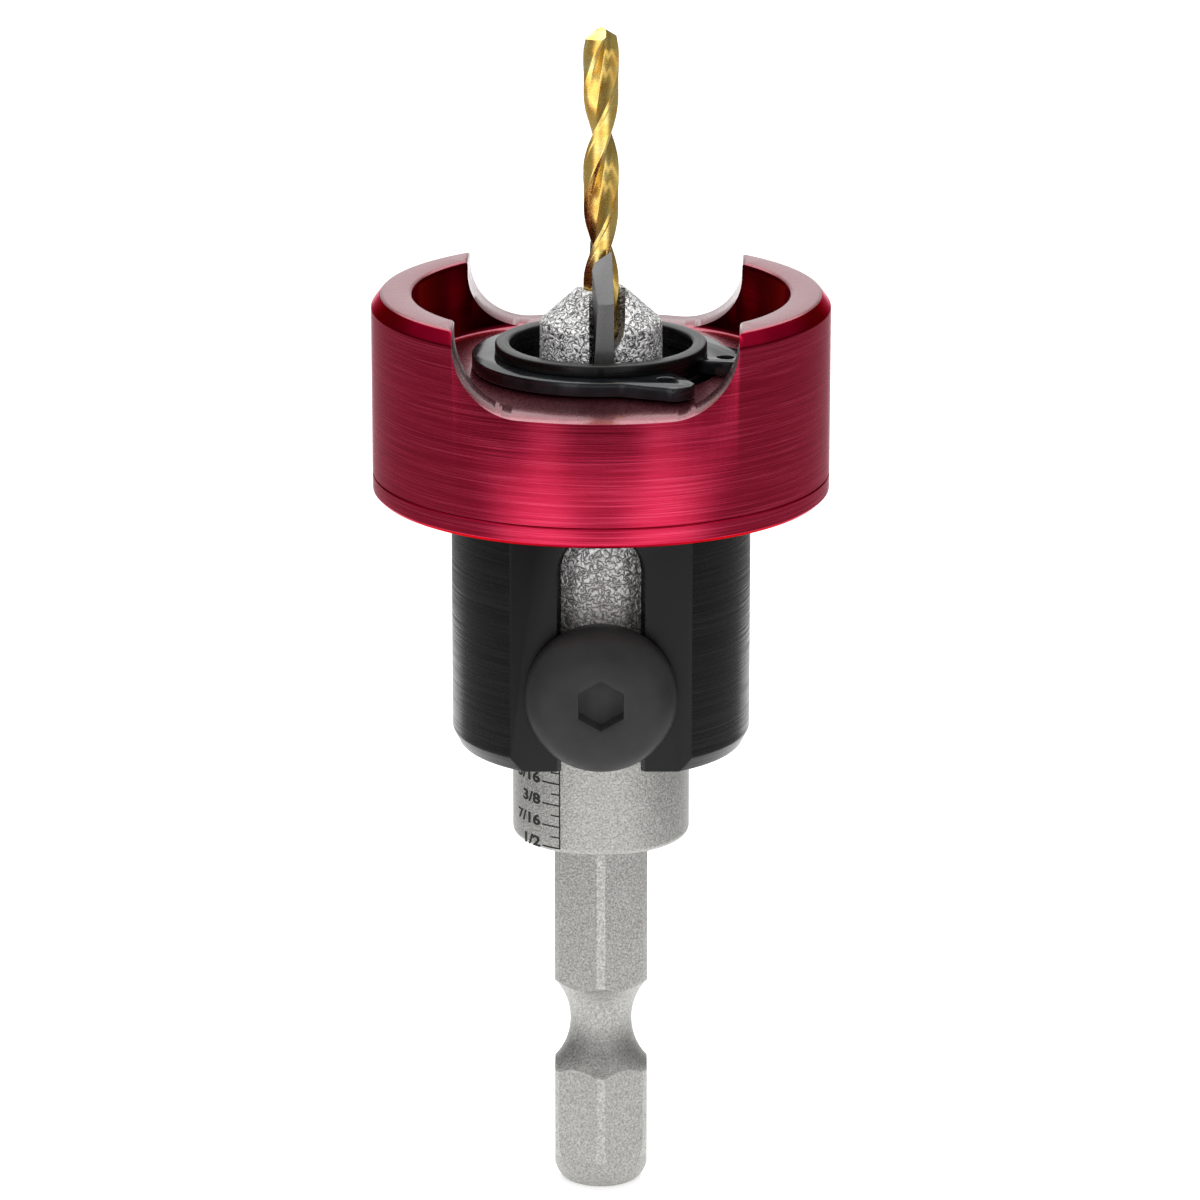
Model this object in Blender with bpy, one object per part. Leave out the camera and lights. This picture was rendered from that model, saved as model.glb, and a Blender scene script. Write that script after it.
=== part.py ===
"""Adjustable carbide-tipped countersink with a through drill and a free-turning depth stop.

It stands on the end of its hex shank with the drill pointing up. Units are metres and +Z is up,
along the drill's axis. Height 0 is the end of the shank, and -Y is the front, with the clamp screw.
Heights on the stop are measured from the bottom of its sleeve, because the whole stop slides.
"""

import math

import bmesh
import bpy
from mathutils import Matrix, Vector

for old in list(bpy.data.objects):
    bpy.data.objects.remove(old)

# Hex shank
HEX_ACROSS_FLATS = 0.00635
SHANK_CORNER_RADIUS = 0.00351
SHANK_LENGTH = 0.0253
SHANK_END_RADIUS = 0.0024
SHANK_END_ROUNDING = 0.0033
GROOVE_HEIGHT = 0.0116
GROOVE_LENGTH = 0.0066
GROOVE_DEPTH = 0.00155

# Round body and cutter head
BODY_RADIUS = 0.00603
BODY_LENGTH = 0.0257
BODY_CHAMFER = 0.00045
NECK_TAPER = 0.0019
HEAD_RADIUS = 0.0041
HEAD_LENGTH = 0.01015
CONE_HEIGHT = 0.00225
CONE_ROUNDING = 0.0006
CONE_TOP_WALL = 0.00035

# Drill and its bore
DRILL_DIAMETER = 0.00238
DRILL_LENGTH = 0.05673
DRILL_CHAMFER = 0.00025
BORE_DEPTH_HEIGHT = 0.0241
BORE_CLEARANCE = 0.00006
FLUTE_LENGTH = 0.030
FLUTE_LEAD = 0.0153
FLUTE_FADE = 0.003
FLUTE_WEB = 0.0006
FLUTE_PHASE = 27.5
POINT_ANGLE = 118

# Carbide blades, their slots and the gullets in front of them
BLADE_FOOT_DEPTH = 0.00285
BLADE_REACH = 0.00035
BLADE_RISE = 0.00295
BLADE_KINK_RISE = 0.00214
BLADE_THICKNESS = 0.00138
BLADE_OFFSET = 0.00018
BLADE_SLOT_GAP = 0.0003
SLOT_WALL = 0.0003
GULLET_WIDTH = 0.00074
GULLET_BACK = 0.0001
GULLET_RUNOUT_RADIUS = 0.0033
GULLET_RUNOUT_RISE = 0.00085

# Clamp screw
CLAMP_HEIGHT = 0.03735
CLAMP_DIAMETER = 0.00496
CLAMP_HEAD_RADIUS = 0.0051
CLAMP_HEAD_HEIGHT = 0.0023
CLAMP_HEAD_EDGE = 0.00045
CLAMP_DISH_RADIUS = 0.0022
CLAMP_SOCKET = 0.003
CLAMP_SOCKET_DEPTH = 0.0015
CLAMP_TIP_CHAMFER = 0.0004
CLAMP_WEB = 0.0006

# Grub screws that hold the drill, at the rear
GRUB_HEIGHTS = (0.0292, 0.0362)
GRUB_DIAMETER = 0.00396
GRUB_RECESS = 0.0008
GRUB_TIP_CHAMFER = 0.0007
GRUB_SOCKET = 0.002
GRUB_SOCKET_DEPTH = 0.0016

# Stop sleeve
ZERO_MARK_HEIGHT = 0.0384
DEPTH_SETTING = 0.00635
BARREL_RADIUS = 0.0101
BARREL_LENGTH = 0.01815
BARREL_CHAMFER = 0.00048
BARREL_CHAMFER_HEIGHT = 0.00095
BARREL_TOP_CHAMFER = 0.0002
BORE_MOUTH_CHAMFER = 0.00025
FLAT_DEPTH = 0.00202
SLOT_ARC_HEIGHT = 0.01391
SLOT_CLEARANCE = 0.00018
SLOT_BEVEL = 0.0003
SHOULDER_WIDTH = 0.00057
SHOULDER_HEIGHT = 0.0012
TUBE_WALL = 0.001
SEAT_STEP = 0.00038
TUBE_ABOVE_CLIP = 0.0008
TUBE_TOP_CHAMFER = 0.00015

# Circlip
CLIP_THICKNESS = 0.00095
CLIP_GROOVE_DEPTH = 0.00035
CLIP_WIDTH = 0.0017
CLIP_BELLY = 0.0002
CLIP_GAP_AZIMUTH = -34.4
CLIP_LUG_HALF_ANGLE = 25.6
CLIP_LUG_REACH = 0.0042
CLIP_HOLE_RADIUS = 0.00055

# Ball bearing, 15 x 24 x 5 mm
BEARING_SECTION = 0.0045
BEARING_WIDTH = 0.005
BALL_RADIUS = 0.00124
BALL_COUNT = 12
BALL_CLEARANCE = 0.00003
RACE_LAND = 0.0014
RACE_CHAMFER = 0.0002
SHIELD_THICKNESS = 0.00025
SHIELD_INSET = 0.00015
CAGE_THICKNESS = 0.0007
CAGE_WIDTH = 0.0032

# Stop collar
COLLAR_WALL = 0.00282
COLLAR_RIM_HEIGHT = 0.00523
COLLAR_POCKET_SKIRT = 0.00184
COLLAR_LEDGE = 0.00053
FLANGE_THICKNESS = 0.0015
FLANGE_HOLE_CLEARANCE = 0.0008
FLANGE_RELIEF = 0.0003
RIM_CHAMFER_WIDTH = 0.00067
RIM_CHAMFER_HEIGHT = 0.0009
RIM_INNER_ROUNDING = 0.00035
SKIRT_CHAMFER = 0.00025
POCKET_CHAMFER = 0.00043
FLOOR_FILLET = 0.00045
CUT_OUT_HALF_WIDTH = 0.00935
CUT_OUT_CORNER = 0.00435
CUT_OUT_TIP_ROUNDING = 0.0003
CUT_OUT_AZIMUTH = -1.8

# Clearances
SLIDE_CLEARANCE = 0.00007
FIT_CLEARANCE = 0.00002
RUNNING_CLEARANCE = 0.00005
WELD_DISTANCE = 0.0000005
OVERSHOOT = 0.002

# Sizes that follow from those above
HEX_CORNER_RADIUS = HEX_ACROSS_FLATS / math.sqrt(3)
BODY_TOP = SHANK_LENGTH + BODY_LENGTH
CONE_BASE = BODY_TOP + HEAD_LENGTH
HEAD_TOP = CONE_BASE + CONE_HEIGHT
DRILL_RADIUS = DRILL_DIAMETER / 2
BORE_RADIUS = DRILL_RADIUS + BORE_CLEARANCE
DRILL_BASE = BORE_DEPTH_HEIGHT + 10 * FIT_CLEARANCE
POINT_SLOPE = 1 / math.tan(math.radians(POINT_ANGLE / 2))
CLAMP_RADIUS = CLAMP_DIAMETER / 2
GRUB_RADIUS = GRUB_DIAMETER / 2

SLEEVE_BOTTOM = ZERO_MARK_HEIGHT - DEPTH_SETTING
SLEEVE_BORE = BODY_RADIUS + SLIDE_CLEARANCE
TUBE_RADIUS = SLEEVE_BORE + TUBE_WALL
SEAT_RADIUS = TUBE_RADIUS + SEAT_STEP
SHOULDER_RADIUS = SEAT_RADIUS + SHOULDER_WIDTH
FLAT_DISTANCE = BARREL_RADIUS - FLAT_DEPTH
SLOT_HALF_WIDTH = CLAMP_RADIUS + SLOT_CLEARANCE
SHOULDER_TOP = BARREL_LENGTH + SHOULDER_HEIGHT
RACE_BOTTOM = SHOULDER_TOP + FIT_CLEARANCE
RACE_TOP = RACE_BOTTOM + BEARING_WIDTH
RACE_MIDDLE = (RACE_BOTTOM + RACE_TOP) / 2
RACE_BORE = SEAT_RADIUS + FIT_CLEARANCE
RACE_OUTSIDE = RACE_BORE + BEARING_SECTION
BALL_PITCH_RADIUS = (RACE_BORE + RACE_OUTSIDE) / 2
FLANGE_BOTTOM = RACE_TOP + FIT_CLEARANCE
COLLAR_FLOOR = FLANGE_BOTTOM + FLANGE_THICKNESS
CLIP_BOTTOM = COLLAR_FLOOR + RUNNING_CLEARANCE
CLIP_TOP = CLIP_BOTTOM + CLIP_THICKNESS
CLIP_BORE = TUBE_RADIUS - CLIP_GROOVE_DEPTH + FIT_CLEARANCE
TUBE_TOP = CLIP_TOP + TUBE_ABOVE_CLIP
COLLAR_RIM = COLLAR_FLOOR + COLLAR_RIM_HEIGHT
COLLAR_BOTTOM = RACE_BOTTOM - COLLAR_POCKET_SKIRT
POCKET_RADIUS = RACE_OUTSIDE + FIT_CLEARANCE
COLLAR_INSIDE = POCKET_RADIUS + COLLAR_LEDGE
COLLAR_RADIUS = COLLAR_INSIDE + COLLAR_WALL


# Modelling helpers
def arc(x, y, radius, start, end, steps):
    """Points along an arc, with angles in degrees."""
    angles = [math.radians(start + (end - start) * i / steps) for i in range(steps + 1)]
    return [(x + radius * math.cos(a), y + radius * math.sin(a)) for a in angles]


def polar(radius, degrees):
    a = math.radians(degrees)
    return radius * math.cos(a), radius * math.sin(a)


def hexagon(across_flats, first_corner=30):
    return [polar(across_flats / math.sqrt(3), first_corner + 60 * i) for i in range(6)]


def to_object(name, bm):
    bmesh.ops.remove_doubles(bm, verts=bm.verts, dist=WELD_DISTANCE)
    bmesh.ops.recalc_face_normals(bm, faces=bm.faces)
    mesh = bpy.data.meshes.new(name)
    bm.to_mesh(mesh)
    bm.free()
    obj = bpy.data.objects.new(name, mesh)
    bpy.context.scene.collection.objects.link(obj)
    return obj


def turned(name, outline, steps, offset=0.0):
    """Spins a closed (radius, height) outline about Z; offset is in steps."""
    bm = bmesh.new()
    start = Matrix.Rotation(2 * math.pi * offset / steps, 4, "Z")
    verts = [bm.verts.new(start @ Vector((radius, 0, height))) for radius, height in outline]
    edges = []
    for i, (radius, _) in enumerate(outline):
        if radius or outline[i - 1][0]:
            edges.append(bm.edges.new((verts[i - 1], verts[i])))
    bmesh.ops.spin(
        bm, geom=verts + edges, cent=(0, 0, 0), axis=(0, 0, 1),
        angle=2 * math.pi, steps=steps, use_merge=True,
    )
    return to_object(name, bm)


def extruded(name, outline, far_outline):
    """Extrudes a closed outline of 3-D points to a second one with as many points."""
    bm = bmesh.new()
    near = bm.faces.new([bm.verts.new(point) for point in outline])
    grown = bmesh.ops.extrude_face_region(bm, geom=[near])["geom"]
    far = next(item for item in grown if isinstance(item, bmesh.types.BMFace))
    for vert, point in zip(far.verts, far_outline):
        vert.co = point
    return to_object(name, bm)


def upright(name, outline, bottom, top):
    """An (x, y) outline extruded along Z."""
    return extruded(name, [(x, y, bottom) for x, y in outline], [(x, y, top) for x, y in outline])


def crosswise(name, outline, front, back):
    """An (x, z) outline extruded along Y."""
    return extruded(name, [(x, front, z) for x, z in outline], [(x, back, z) for x, z in outline])


def aimed(obj, axis, degrees, height=0.0):
    """Turns an object's mesh about an axis, then lifts it."""
    turn = Matrix.Rotation(math.radians(degrees), 4, axis)
    obj.data.transform(Matrix.Translation((0, 0, height)) @ turn)
    return obj


def combine(obj, tool, operation):
    """Applies one exact Boolean, removes its tool and welds points that fall together."""
    step = obj.modifiers.new(operation.lower(), "BOOLEAN")
    step.operation = operation
    step.solver = "EXACT"
    step.object = tool
    graph = bpy.context.evaluated_depsgraph_get()
    result = bpy.data.meshes.new_from_object(obj.evaluated_get(graph))
    obj.modifiers.clear()
    obj.data = result
    bpy.data.objects.remove(tool)
    bm = bmesh.new()
    bm.from_mesh(result)
    bmesh.ops.remove_doubles(bm, verts=bm.verts, dist=WELD_DISTANCE)
    bmesh.ops.dissolve_degenerate(bm, edges=bm.edges, dist=WELD_DISTANCE)
    bm.to_mesh(result)
    bm.free()
    return obj


def cut(obj, tool):
    return combine(obj, tool, "DIFFERENCE")


def body_frame(name, height, parent=None):
    """An empty on the tool's axis that carries one body's pieces."""
    empty = bpy.data.objects.new(name, None)
    bpy.context.scene.collection.objects.link(empty)
    empty.parent = parent
    empty.location = (0, 0, height)
    return empty


def finish(obj, name, material, parent, sharp_angle=30):
    obj.name = name
    obj.data.name = name
    obj.data.materials.clear()
    obj.data.materials.append(material)
    obj.data.shade_smooth()
    obj.data.set_sharp_from_angle(angle=math.radians(sharp_angle))
    obj.parent = parent
    return obj


def principled(name, colour, metallic, roughness):
    material = bpy.data.materials.new(name)
    material.use_nodes = True
    shader = material.node_tree.nodes["Principled BSDF"]
    shader.inputs["Base Color"].default_value = (*colour, 1)
    shader.inputs["Metallic"].default_value = metallic
    shader.inputs["Roughness"].default_value = roughness
    return material


# Cutter body: one turned and milled piece of steel
def make_cutter_body(material, parent):
    body = turned("body", [
        (0, SHANK_LENGTH), (BODY_RADIUS - BODY_CHAMFER, SHANK_LENGTH),
        (BODY_RADIUS, SHANK_LENGTH + BODY_CHAMFER), (BODY_RADIUS, BODY_TOP),
        (HEAD_RADIUS, BODY_TOP + NECK_TAPER), *cone_edge(),
        (BORE_RADIUS + CONE_TOP_WALL, HEAD_TOP), (0, HEAD_TOP),
    ], 40, offset=0.3)
    combine(body, hex_shank(), "UNION")

    bore = [polar(BORE_RADIUS, 15 * i) for i in range(24)]
    cut(body, upright("bore", bore, BORE_DEPTH_HEIGHT, HEAD_TOP + OVERSHOOT))
    for side in (0, 180):
        cut(body, aimed(blade_slot(), "Z", side))
        cut(body, aimed(gullet(), "Z", side))

    radius = CLAMP_RADIUS + FIT_CLEARANCE
    inner = BORE_RADIUS + CLAMP_WEB
    hole = turned("clamp_hole", [(0, inner), (radius, inner), (radius, BODY_RADIUS + OVERSHOOT),
                                 (0, BODY_RADIUS + OVERSHOOT)], 32)
    cut(body, aimed(hole, "X", 90, CLAMP_HEIGHT))
    radius = GRUB_RADIUS + FIT_CLEARANCE
    for height in GRUB_HEIGHTS:
        hole = turned("grub_hole", [(0, 0), (radius, 0), (radius, BODY_RADIUS + OVERSHOOT),
                                    (0, BODY_RADIUS + OVERSHOOT)], 28)
        cut(body, aimed(hole, "X", -90, height))
    finish(body, "cutter_body", material, parent)


def cone_edge():
    """The rounded edge between the head's side and its cone."""
    slope = math.atan2(CONE_HEIGHT, HEAD_RADIUS - BORE_RADIUS - CONE_TOP_WALL)
    reach = CONE_ROUNDING * math.tan((math.pi / 2 - slope) / 2)
    turn = 90 - math.degrees(slope)
    return arc(HEAD_RADIUS - CONE_ROUNDING, CONE_BASE - reach, CONE_ROUNDING, 0, turn, 2)


def hex_shank():
    """The hex bar, with its corners broken, its end rounded and its ball groove turned."""
    envelope = SHANK_CORNER_RADIUS
    depth = envelope - HEX_CORNER_RADIUS + GROOVE_DEPTH
    half = GROOVE_LENGTH / 2
    radius = (half ** 2 + depth ** 2) / (2 * depth)
    sweep = math.degrees(math.asin(half / radius))
    groove = arc(envelope - depth + radius, GROOVE_HEIGHT, radius, 180 + sweep, 180 - sweep, 12)
    outline = [(0, 0)]
    for angle in (0, 25, 45, 65, 90):
        t = math.radians(angle)
        outline.append((SHANK_END_RADIUS + (envelope - SHANK_END_RADIUS) * math.sin(t),
                        SHANK_END_ROUNDING * (1 - math.cos(t))))
    buried = SHANK_LENGTH + BODY_CHAMFER * 2
    outline += groove + [(envelope, buried), (0, buried)]
    shank = turned("shank", outline, 36, offset=0.5)
    bar = upright("bar", hexagon(HEX_ACROSS_FLATS), -OVERSHOOT, buried + OVERSHOOT)
    return combine(shank, bar, "INTERSECT")


def blade_slot():
    """Slot for the front blade; the blade leans on its right wall."""
    right = BLADE_THICKNESS / 2 + FIT_CLEARANCE + BLADE_OFFSET
    left = right - BLADE_THICKNESS - BLADE_SLOT_GAP
    floor = CONE_BASE - BLADE_FOOT_DEPTH
    top = HEAD_TOP + OVERSHOOT
    outline = [(left, floor), (right, floor), (right, top), (left, top)]
    return crosswise("slot", outline, -HEAD_RADIUS - OVERSHOOT, -BORE_RADIUS - SLOT_WALL)


def gullet():
    """Pocket on the leading side of the front blade, open to the drill and running out at its foot."""
    left = BLADE_OFFSET
    right = BLADE_OFFSET + BLADE_THICKNESS / 2 + GULLET_WIDTH
    runout = arc(right - GULLET_RUNOUT_RADIUS, CONE_BASE + GULLET_RUNOUT_RISE,
                 GULLET_RUNOUT_RADIUS, -42, 0, 8)
    top = HEAD_TOP + OVERSHOOT
    outline = runout + [(right, top), (left, top), (left, runout[0][1])]
    return crosswise("gullet", outline, -HEAD_RADIUS - OVERSHOOT, -GULLET_BACK)


# Carbide blade: a ground plate whose top is one sloped cutting land
def make_blade(name, side, material, parent):
    right = BLADE_OFFSET + BLADE_THICKNESS / 2
    left = right - BLADE_THICKNESS
    inner = BORE_RADIUS + SLOT_WALL + FIT_CLEARANCE
    outer = HEAD_RADIUS + BLADE_REACH
    bottom = CONE_BASE - BLADE_FOOT_DEPTH + FIT_CLEARANCE
    kink = CONE_BASE + BLADE_KINK_RISE
    peak = kink + BLADE_RISE
    foot = [(right, outer), (right, inner + 0.0002), (left + 0.0002, inner + 0.0002),
            (left, inner + 0.0004), (left, outer - 0.0001)]
    land = [(right, outer, kink), (right - 0.00015, inner + 0.00005, peak),
            (left + 0.0001, inner + 0.0005, peak - 0.00065),
            (left - 0.0001, inner + 0.0009, peak - 0.0011),
            (left + 0.0003, outer - 0.00005, kink - 0.0001)]
    blade = extruded(name, [(x, -y, bottom) for x, y in foot], [(x, -y, z) for x, y, z in land])
    finish(aimed(blade, "Z", side), name, material, parent)


# Twist drill: a two-flute section swept up a helix
def flute_radius(angle):
    """Radius of the section at an angle in degrees; the two halves are alike."""
    angle %= 180
    land, heel, lip = 62, 76, 166
    if angle < 14:
        return DRILL_RADIUS
    if angle < land:
        return DRILL_RADIUS * 0.975
    if angle < heel:
        return DRILL_RADIUS * (0.975 - 0.22 * (angle - land) / (heel - land))
    web = FLUTE_WEB / 2
    if angle < lip:
        t = (angle - heel) / (lip - heel)
        hollow = (1 - math.sin(math.pi * t) ** 0.6) * (1 - 0.35 * t)
        return web + (DRILL_RADIUS * 0.755 - web) * hollow
    return web + (DRILL_RADIUS - web) * (0.42 + 0.58 * (angle - lip) / (180 - lip))


def make_drill(material, parent):
    points, steps = 24, 36
    tip = DRILL_BASE + DRILL_LENGTH
    flutes_end = tip - DRILL_RADIUS * POINT_SLOPE - DRILL_RADIUS * 0.6
    flutes_start = flutes_end - FLUTE_LENGTH
    bm = bmesh.new()
    angles = [360 * i / points for i in range(points)]
    section = bm.faces.new([
        bm.verts.new((*polar(flute_radius(a), a + FLUTE_PHASE), flutes_start)) for a in angles
    ])
    bmesh.ops.spin(
        bm, geom=[section], cent=(0, 0, 0), axis=(0, 0, 1), dvec=(0, 0, FLUTE_LENGTH / steps),
        angle=2 * math.pi * FLUTE_LENGTH / FLUTE_LEAD, steps=steps,
    )
    for vert in bm.verts:
        radius = math.hypot(vert.co.x, vert.co.y)
        cut_in = min((vert.co.z - flutes_start) / FLUTE_FADE, 1)
        scale = (DRILL_RADIUS + (radius - DRILL_RADIUS) * cut_in) / radius
        vert.co.x *= scale
        vert.co.y *= scale

    lower, upper = [face for face in bm.faces if len(face.verts) == points]
    if lower.verts[0].co.z > upper.verts[0].co.z:
        lower, upper = upper, lower
    raise_to_point(bm, upper, tip)
    for drop, inset in ((flutes_start - DRILL_BASE - DRILL_CHAMFER, 0), (DRILL_CHAMFER, DRILL_CHAMFER)):
        lower = lengthened(bm, lower)
        for vert in lower.verts:
            shrink = 1 - inset / DRILL_RADIUS
            vert.co = (vert.co.x * shrink, vert.co.y * shrink, vert.co.z - drop)
    finish(to_object("twist_drill", bm), "twist_drill", material, parent, 35)


def lengthened(bm, cap):
    """Extrudes an end cap and returns the new one, whose points are still to be moved."""
    grown = bmesh.ops.extrude_face_region(bm, geom=[cap])["geom"]
    bmesh.ops.delete(bm, geom=[cap], context="FACES_ONLY")
    return next(item for item in grown if isinstance(item, bmesh.types.BMFace))


def raise_to_point(bm, cap, tip):
    """Extrudes the fluted end up onto the cone of the drill's point."""
    end = lengthened(bm, cap)
    for vert in end.verts:
        height = tip - math.hypot(vert.co.x, vert.co.y) * POINT_SLOPE
        turn = Matrix.Rotation(2 * math.pi * (height - vert.co.z) / FLUTE_LEAD, 4, "Z")
        vert.co = turn @ Vector((vert.co.x, vert.co.y, height))
    centre = bmesh.ops.poke(bm, faces=[end])["verts"][0]
    centre.co = (0, 0, tip)


# Screws, made pointing up with their length along Z, then laid along Y by their object's rotation
def make_clamp_screw(material, parent):
    seat = FLAT_DISTANCE + FIT_CLEARANCE
    inner = BORE_RADIUS + CLAMP_WEB + FIT_CLEARANCE
    rim = seat + CLAMP_HEAD_EDGE
    dome_height = CLAMP_HEAD_HEIGHT - CLAMP_HEAD_EDGE
    dome = []
    for angle in (0, 22, 42, 60, 76):
        t = math.radians(angle)
        dome.append((CLAMP_DISH_RADIUS + (CLAMP_HEAD_RADIUS - CLAMP_DISH_RADIUS) * math.cos(t),
                     rim + dome_height * math.sin(t)))
    outline = [(0, inner), (CLAMP_RADIUS - CLAMP_TIP_CHAMFER, inner),
               (CLAMP_RADIUS, inner + CLAMP_TIP_CHAMFER), (CLAMP_RADIUS, seat), (CLAMP_HEAD_RADIUS, seat)]
    outline += dome + [(CLAMP_DISH_RADIUS, rim + dome_height), (0, rim + dome_height)]
    screw = turned("clamp_screw", outline, 36)
    top = seat + CLAMP_HEAD_HEIGHT
    cut(screw, upright("socket", hexagon(CLAMP_SOCKET, 90), top - CLAMP_SOCKET_DEPTH, top + OVERSHOOT))
    finish(screw, "clamp_screw", material, parent)
    screw.rotation_euler = (math.radians(90), 0, 0)
    screw.location = (0, 0, CLAMP_HEIGHT)


def make_grub_screw(name, height, material, parent):
    inner = DRILL_RADIUS + FIT_CLEARANCE
    outer = BODY_RADIUS - GRUB_RECESS
    tip = GRUB_RADIUS - GRUB_TIP_CHAMFER
    edge = GRUB_TIP_CHAMFER / 3
    screw = turned(name, [(0, inner), (tip, inner), (GRUB_RADIUS, inner + GRUB_TIP_CHAMFER),
                          (GRUB_RADIUS, outer - edge), (GRUB_RADIUS - edge, outer), (0, outer)], 28)
    cut(screw, upright("socket", hexagon(GRUB_SOCKET, 0), outer - GRUB_SOCKET_DEPTH, outer + OVERSHOOT))
    finish(screw, name, material, parent)
    screw.rotation_euler = (math.radians(-90), 0, 0)
    screw.location = (0, 0, height)


# Stop sleeve: barrel with a flat and a slot, shoulder, bearing seat and tube
def slot_outline(growth):
    """The slot is open at the bottom and ends in an arc."""
    half = SLOT_HALF_WIDTH + growth
    return arc(0, SLOT_ARC_HEIGHT, half, 0, 180, 14) + [(-half, -OVERSHOOT), (half, -OVERSHOOT)]


def make_sleeve(material, parent):
    groove = CLIP_BORE - FIT_CLEARANCE
    side = FIT_CLEARANCE + RUNNING_CLEARANCE / 2
    sleeve = turned("sleeve", [
        (SLEEVE_BORE + BORE_MOUTH_CHAMFER, 0), (BARREL_RADIUS - BARREL_CHAMFER, 0),
        (BARREL_RADIUS, BARREL_CHAMFER_HEIGHT), (BARREL_RADIUS, BARREL_LENGTH - BARREL_TOP_CHAMFER),
        (BARREL_RADIUS - BARREL_TOP_CHAMFER, BARREL_LENGTH), (SHOULDER_RADIUS, BARREL_LENGTH),
        (SHOULDER_RADIUS, SHOULDER_TOP), (SEAT_RADIUS, SHOULDER_TOP),
        (SEAT_RADIUS, RACE_TOP), (TUBE_RADIUS, RACE_TOP),
        (TUBE_RADIUS, CLIP_BOTTOM - side), (groove, CLIP_BOTTOM - side),
        (groove, CLIP_TOP + side), (TUBE_RADIUS, CLIP_TOP + side),
        (TUBE_RADIUS, TUBE_TOP - TUBE_TOP_CHAMFER), (TUBE_RADIUS - TUBE_TOP_CHAMFER, TUBE_TOP),
        (SLEEVE_BORE + BORE_MOUTH_CHAMFER, TUBE_TOP), (SLEEVE_BORE, TUBE_TOP - BORE_MOUTH_CHAMFER),
        (SLEEVE_BORE, BORE_MOUTH_CHAMFER),
    ], 60)
    wide = BARREL_RADIUS + OVERSHOOT
    top = BARREL_LENGTH + SHOULDER_HEIGHT / 2
    flat = [(-wide, -OVERSHOOT), (wide, -OVERSHOOT), (wide, top), (-wide, top)]
    cut(sleeve, crosswise("flat", flat, -wide, -FLAT_DISTANCE))
    cut(sleeve, crosswise("slot", slot_outline(0), -wide, -SLEEVE_BORE * 0.75))
    beyond = SLOT_BEVEL * 0.6
    outside = [(x, -FLAT_DISTANCE - beyond, z) for x, z in slot_outline(SLOT_BEVEL + beyond)]
    inside = [(x, -FLAT_DISTANCE + SLOT_BEVEL, z) for x, z in slot_outline(-FIT_CLEARANCE)]
    cut(sleeve, extruded("slot_bevel", outside, inside))
    finish(sleeve, "stop_sleeve", material, parent)


# Circlip: an open ring that swells at its back and ends in two holed lugs
def make_circlip(material, parent):
    waist = CLIP_BORE + CLIP_WIDTH
    lug = [(waist, 50), (waist + 0.0003, 44.5), (waist + 0.0013, 36.5), (CLIP_BORE + CLIP_LUG_REACH, 30),
           (CLIP_BORE + CLIP_LUG_REACH - 0.0005, 19.5), (CLIP_BORE + 0.0023, 17.3), (CLIP_BORE + 0.0008, 16)]
    gap = lug[-1][1]
    back = []
    for i in range(1, 24):
        swell = CLIP_BELLY * math.sin(math.pi * i / 24)
        back.append((waist + swell, lug[0][1] + (360 - 2 * lug[0][1]) * i / 24))
    outer = list(reversed(lug)) + back + [(radius, 360 - angle) for radius, angle in lug]
    inner = [(CLIP_BORE, 360 - gap - (360 - 2 * gap) * i / 64) for i in range(65)]
    clip = upright("circlip", [polar(radius, angle) for radius, angle in outer + inner], 0, CLIP_THICKNESS)
    for angle in (-CLIP_LUG_HALF_ANGLE, CLIP_LUG_HALF_ANGLE):
        x, y = polar(CLIP_BORE + 0.00165, angle)
        ring = arc(x, y, CLIP_HOLE_RADIUS, 0, 360 * 15 / 16, 15)
        cut(clip, upright("lug_hole", ring, -OVERSHOOT, CLIP_THICKNESS + OVERSHOOT))
    finish(clip, "circlip", material, parent)
    clip.location = (0, 0, CLIP_BOTTOM)
    clip.rotation_euler = (0, 0, math.radians(CLIP_GAP_AZIMUTH))


# Ball bearing, made about its own middle
def make_races(steel, inner_parent, outer_parent):
    half = BEARING_WIDTH / 2
    track = BALL_RADIUS + BALL_CLEARANCE
    land = math.degrees(math.acos(min((BEARING_SECTION / 2 - RACE_LAND) / track, 1)))
    groove = arc(BALL_PITCH_RADIUS, 0, track, 180 + land, 180 - land, 4)
    lip = groove[0][0]
    inner = [(RACE_BORE, -half + RACE_CHAMFER), (RACE_BORE + RACE_CHAMFER, -half), (lip, -half)]
    inner += groove + [(lip, half), (RACE_BORE + RACE_CHAMFER, half), (RACE_BORE, half - RACE_CHAMFER)]
    race = turned("inner_race", inner, 48)
    finish(race, "bearing_inner_race", steel, inner_parent).location = (0, 0, RACE_MIDDLE)

    groove = arc(BALL_PITCH_RADIUS, 0, track, land, -land, 4)
    lip = groove[0][0]
    ledge = lip + shield_seat()
    inset = half - SHIELD_INSET - SHIELD_THICKNESS
    outer = [(RACE_OUTSIDE, half - RACE_CHAMFER), (RACE_OUTSIDE - RACE_CHAMFER, half), (ledge, half),
             (ledge, inset), (lip, inset)]
    outer += groove + [(lip, -inset), (ledge, -inset), (ledge, -half), (RACE_OUTSIDE - RACE_CHAMFER, -half),
                       (RACE_OUTSIDE, -half + RACE_CHAMFER)]
    race = turned("outer_race", outer, 36)
    finish(race, "bearing_outer_race", steel, outer_parent)

    for name, side in (("bearing_shield_lower", -1), ("bearing_shield_upper", 1)):
        near = inset + FIT_CLEARANCE
        far = near + SHIELD_THICKNESS - FIT_CLEARANCE
        inside = BALL_PITCH_RADIUS * 2 - lip + RACE_CHAMFER
        ring = turned(name, [(inside, side * near), (ledge - FIT_CLEARANCE, side * near),
                             (ledge - FIT_CLEARANCE, side * far), (inside, side * far)], 36)
        finish(ring, name, SHIELD_STEEL, outer_parent)


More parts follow.
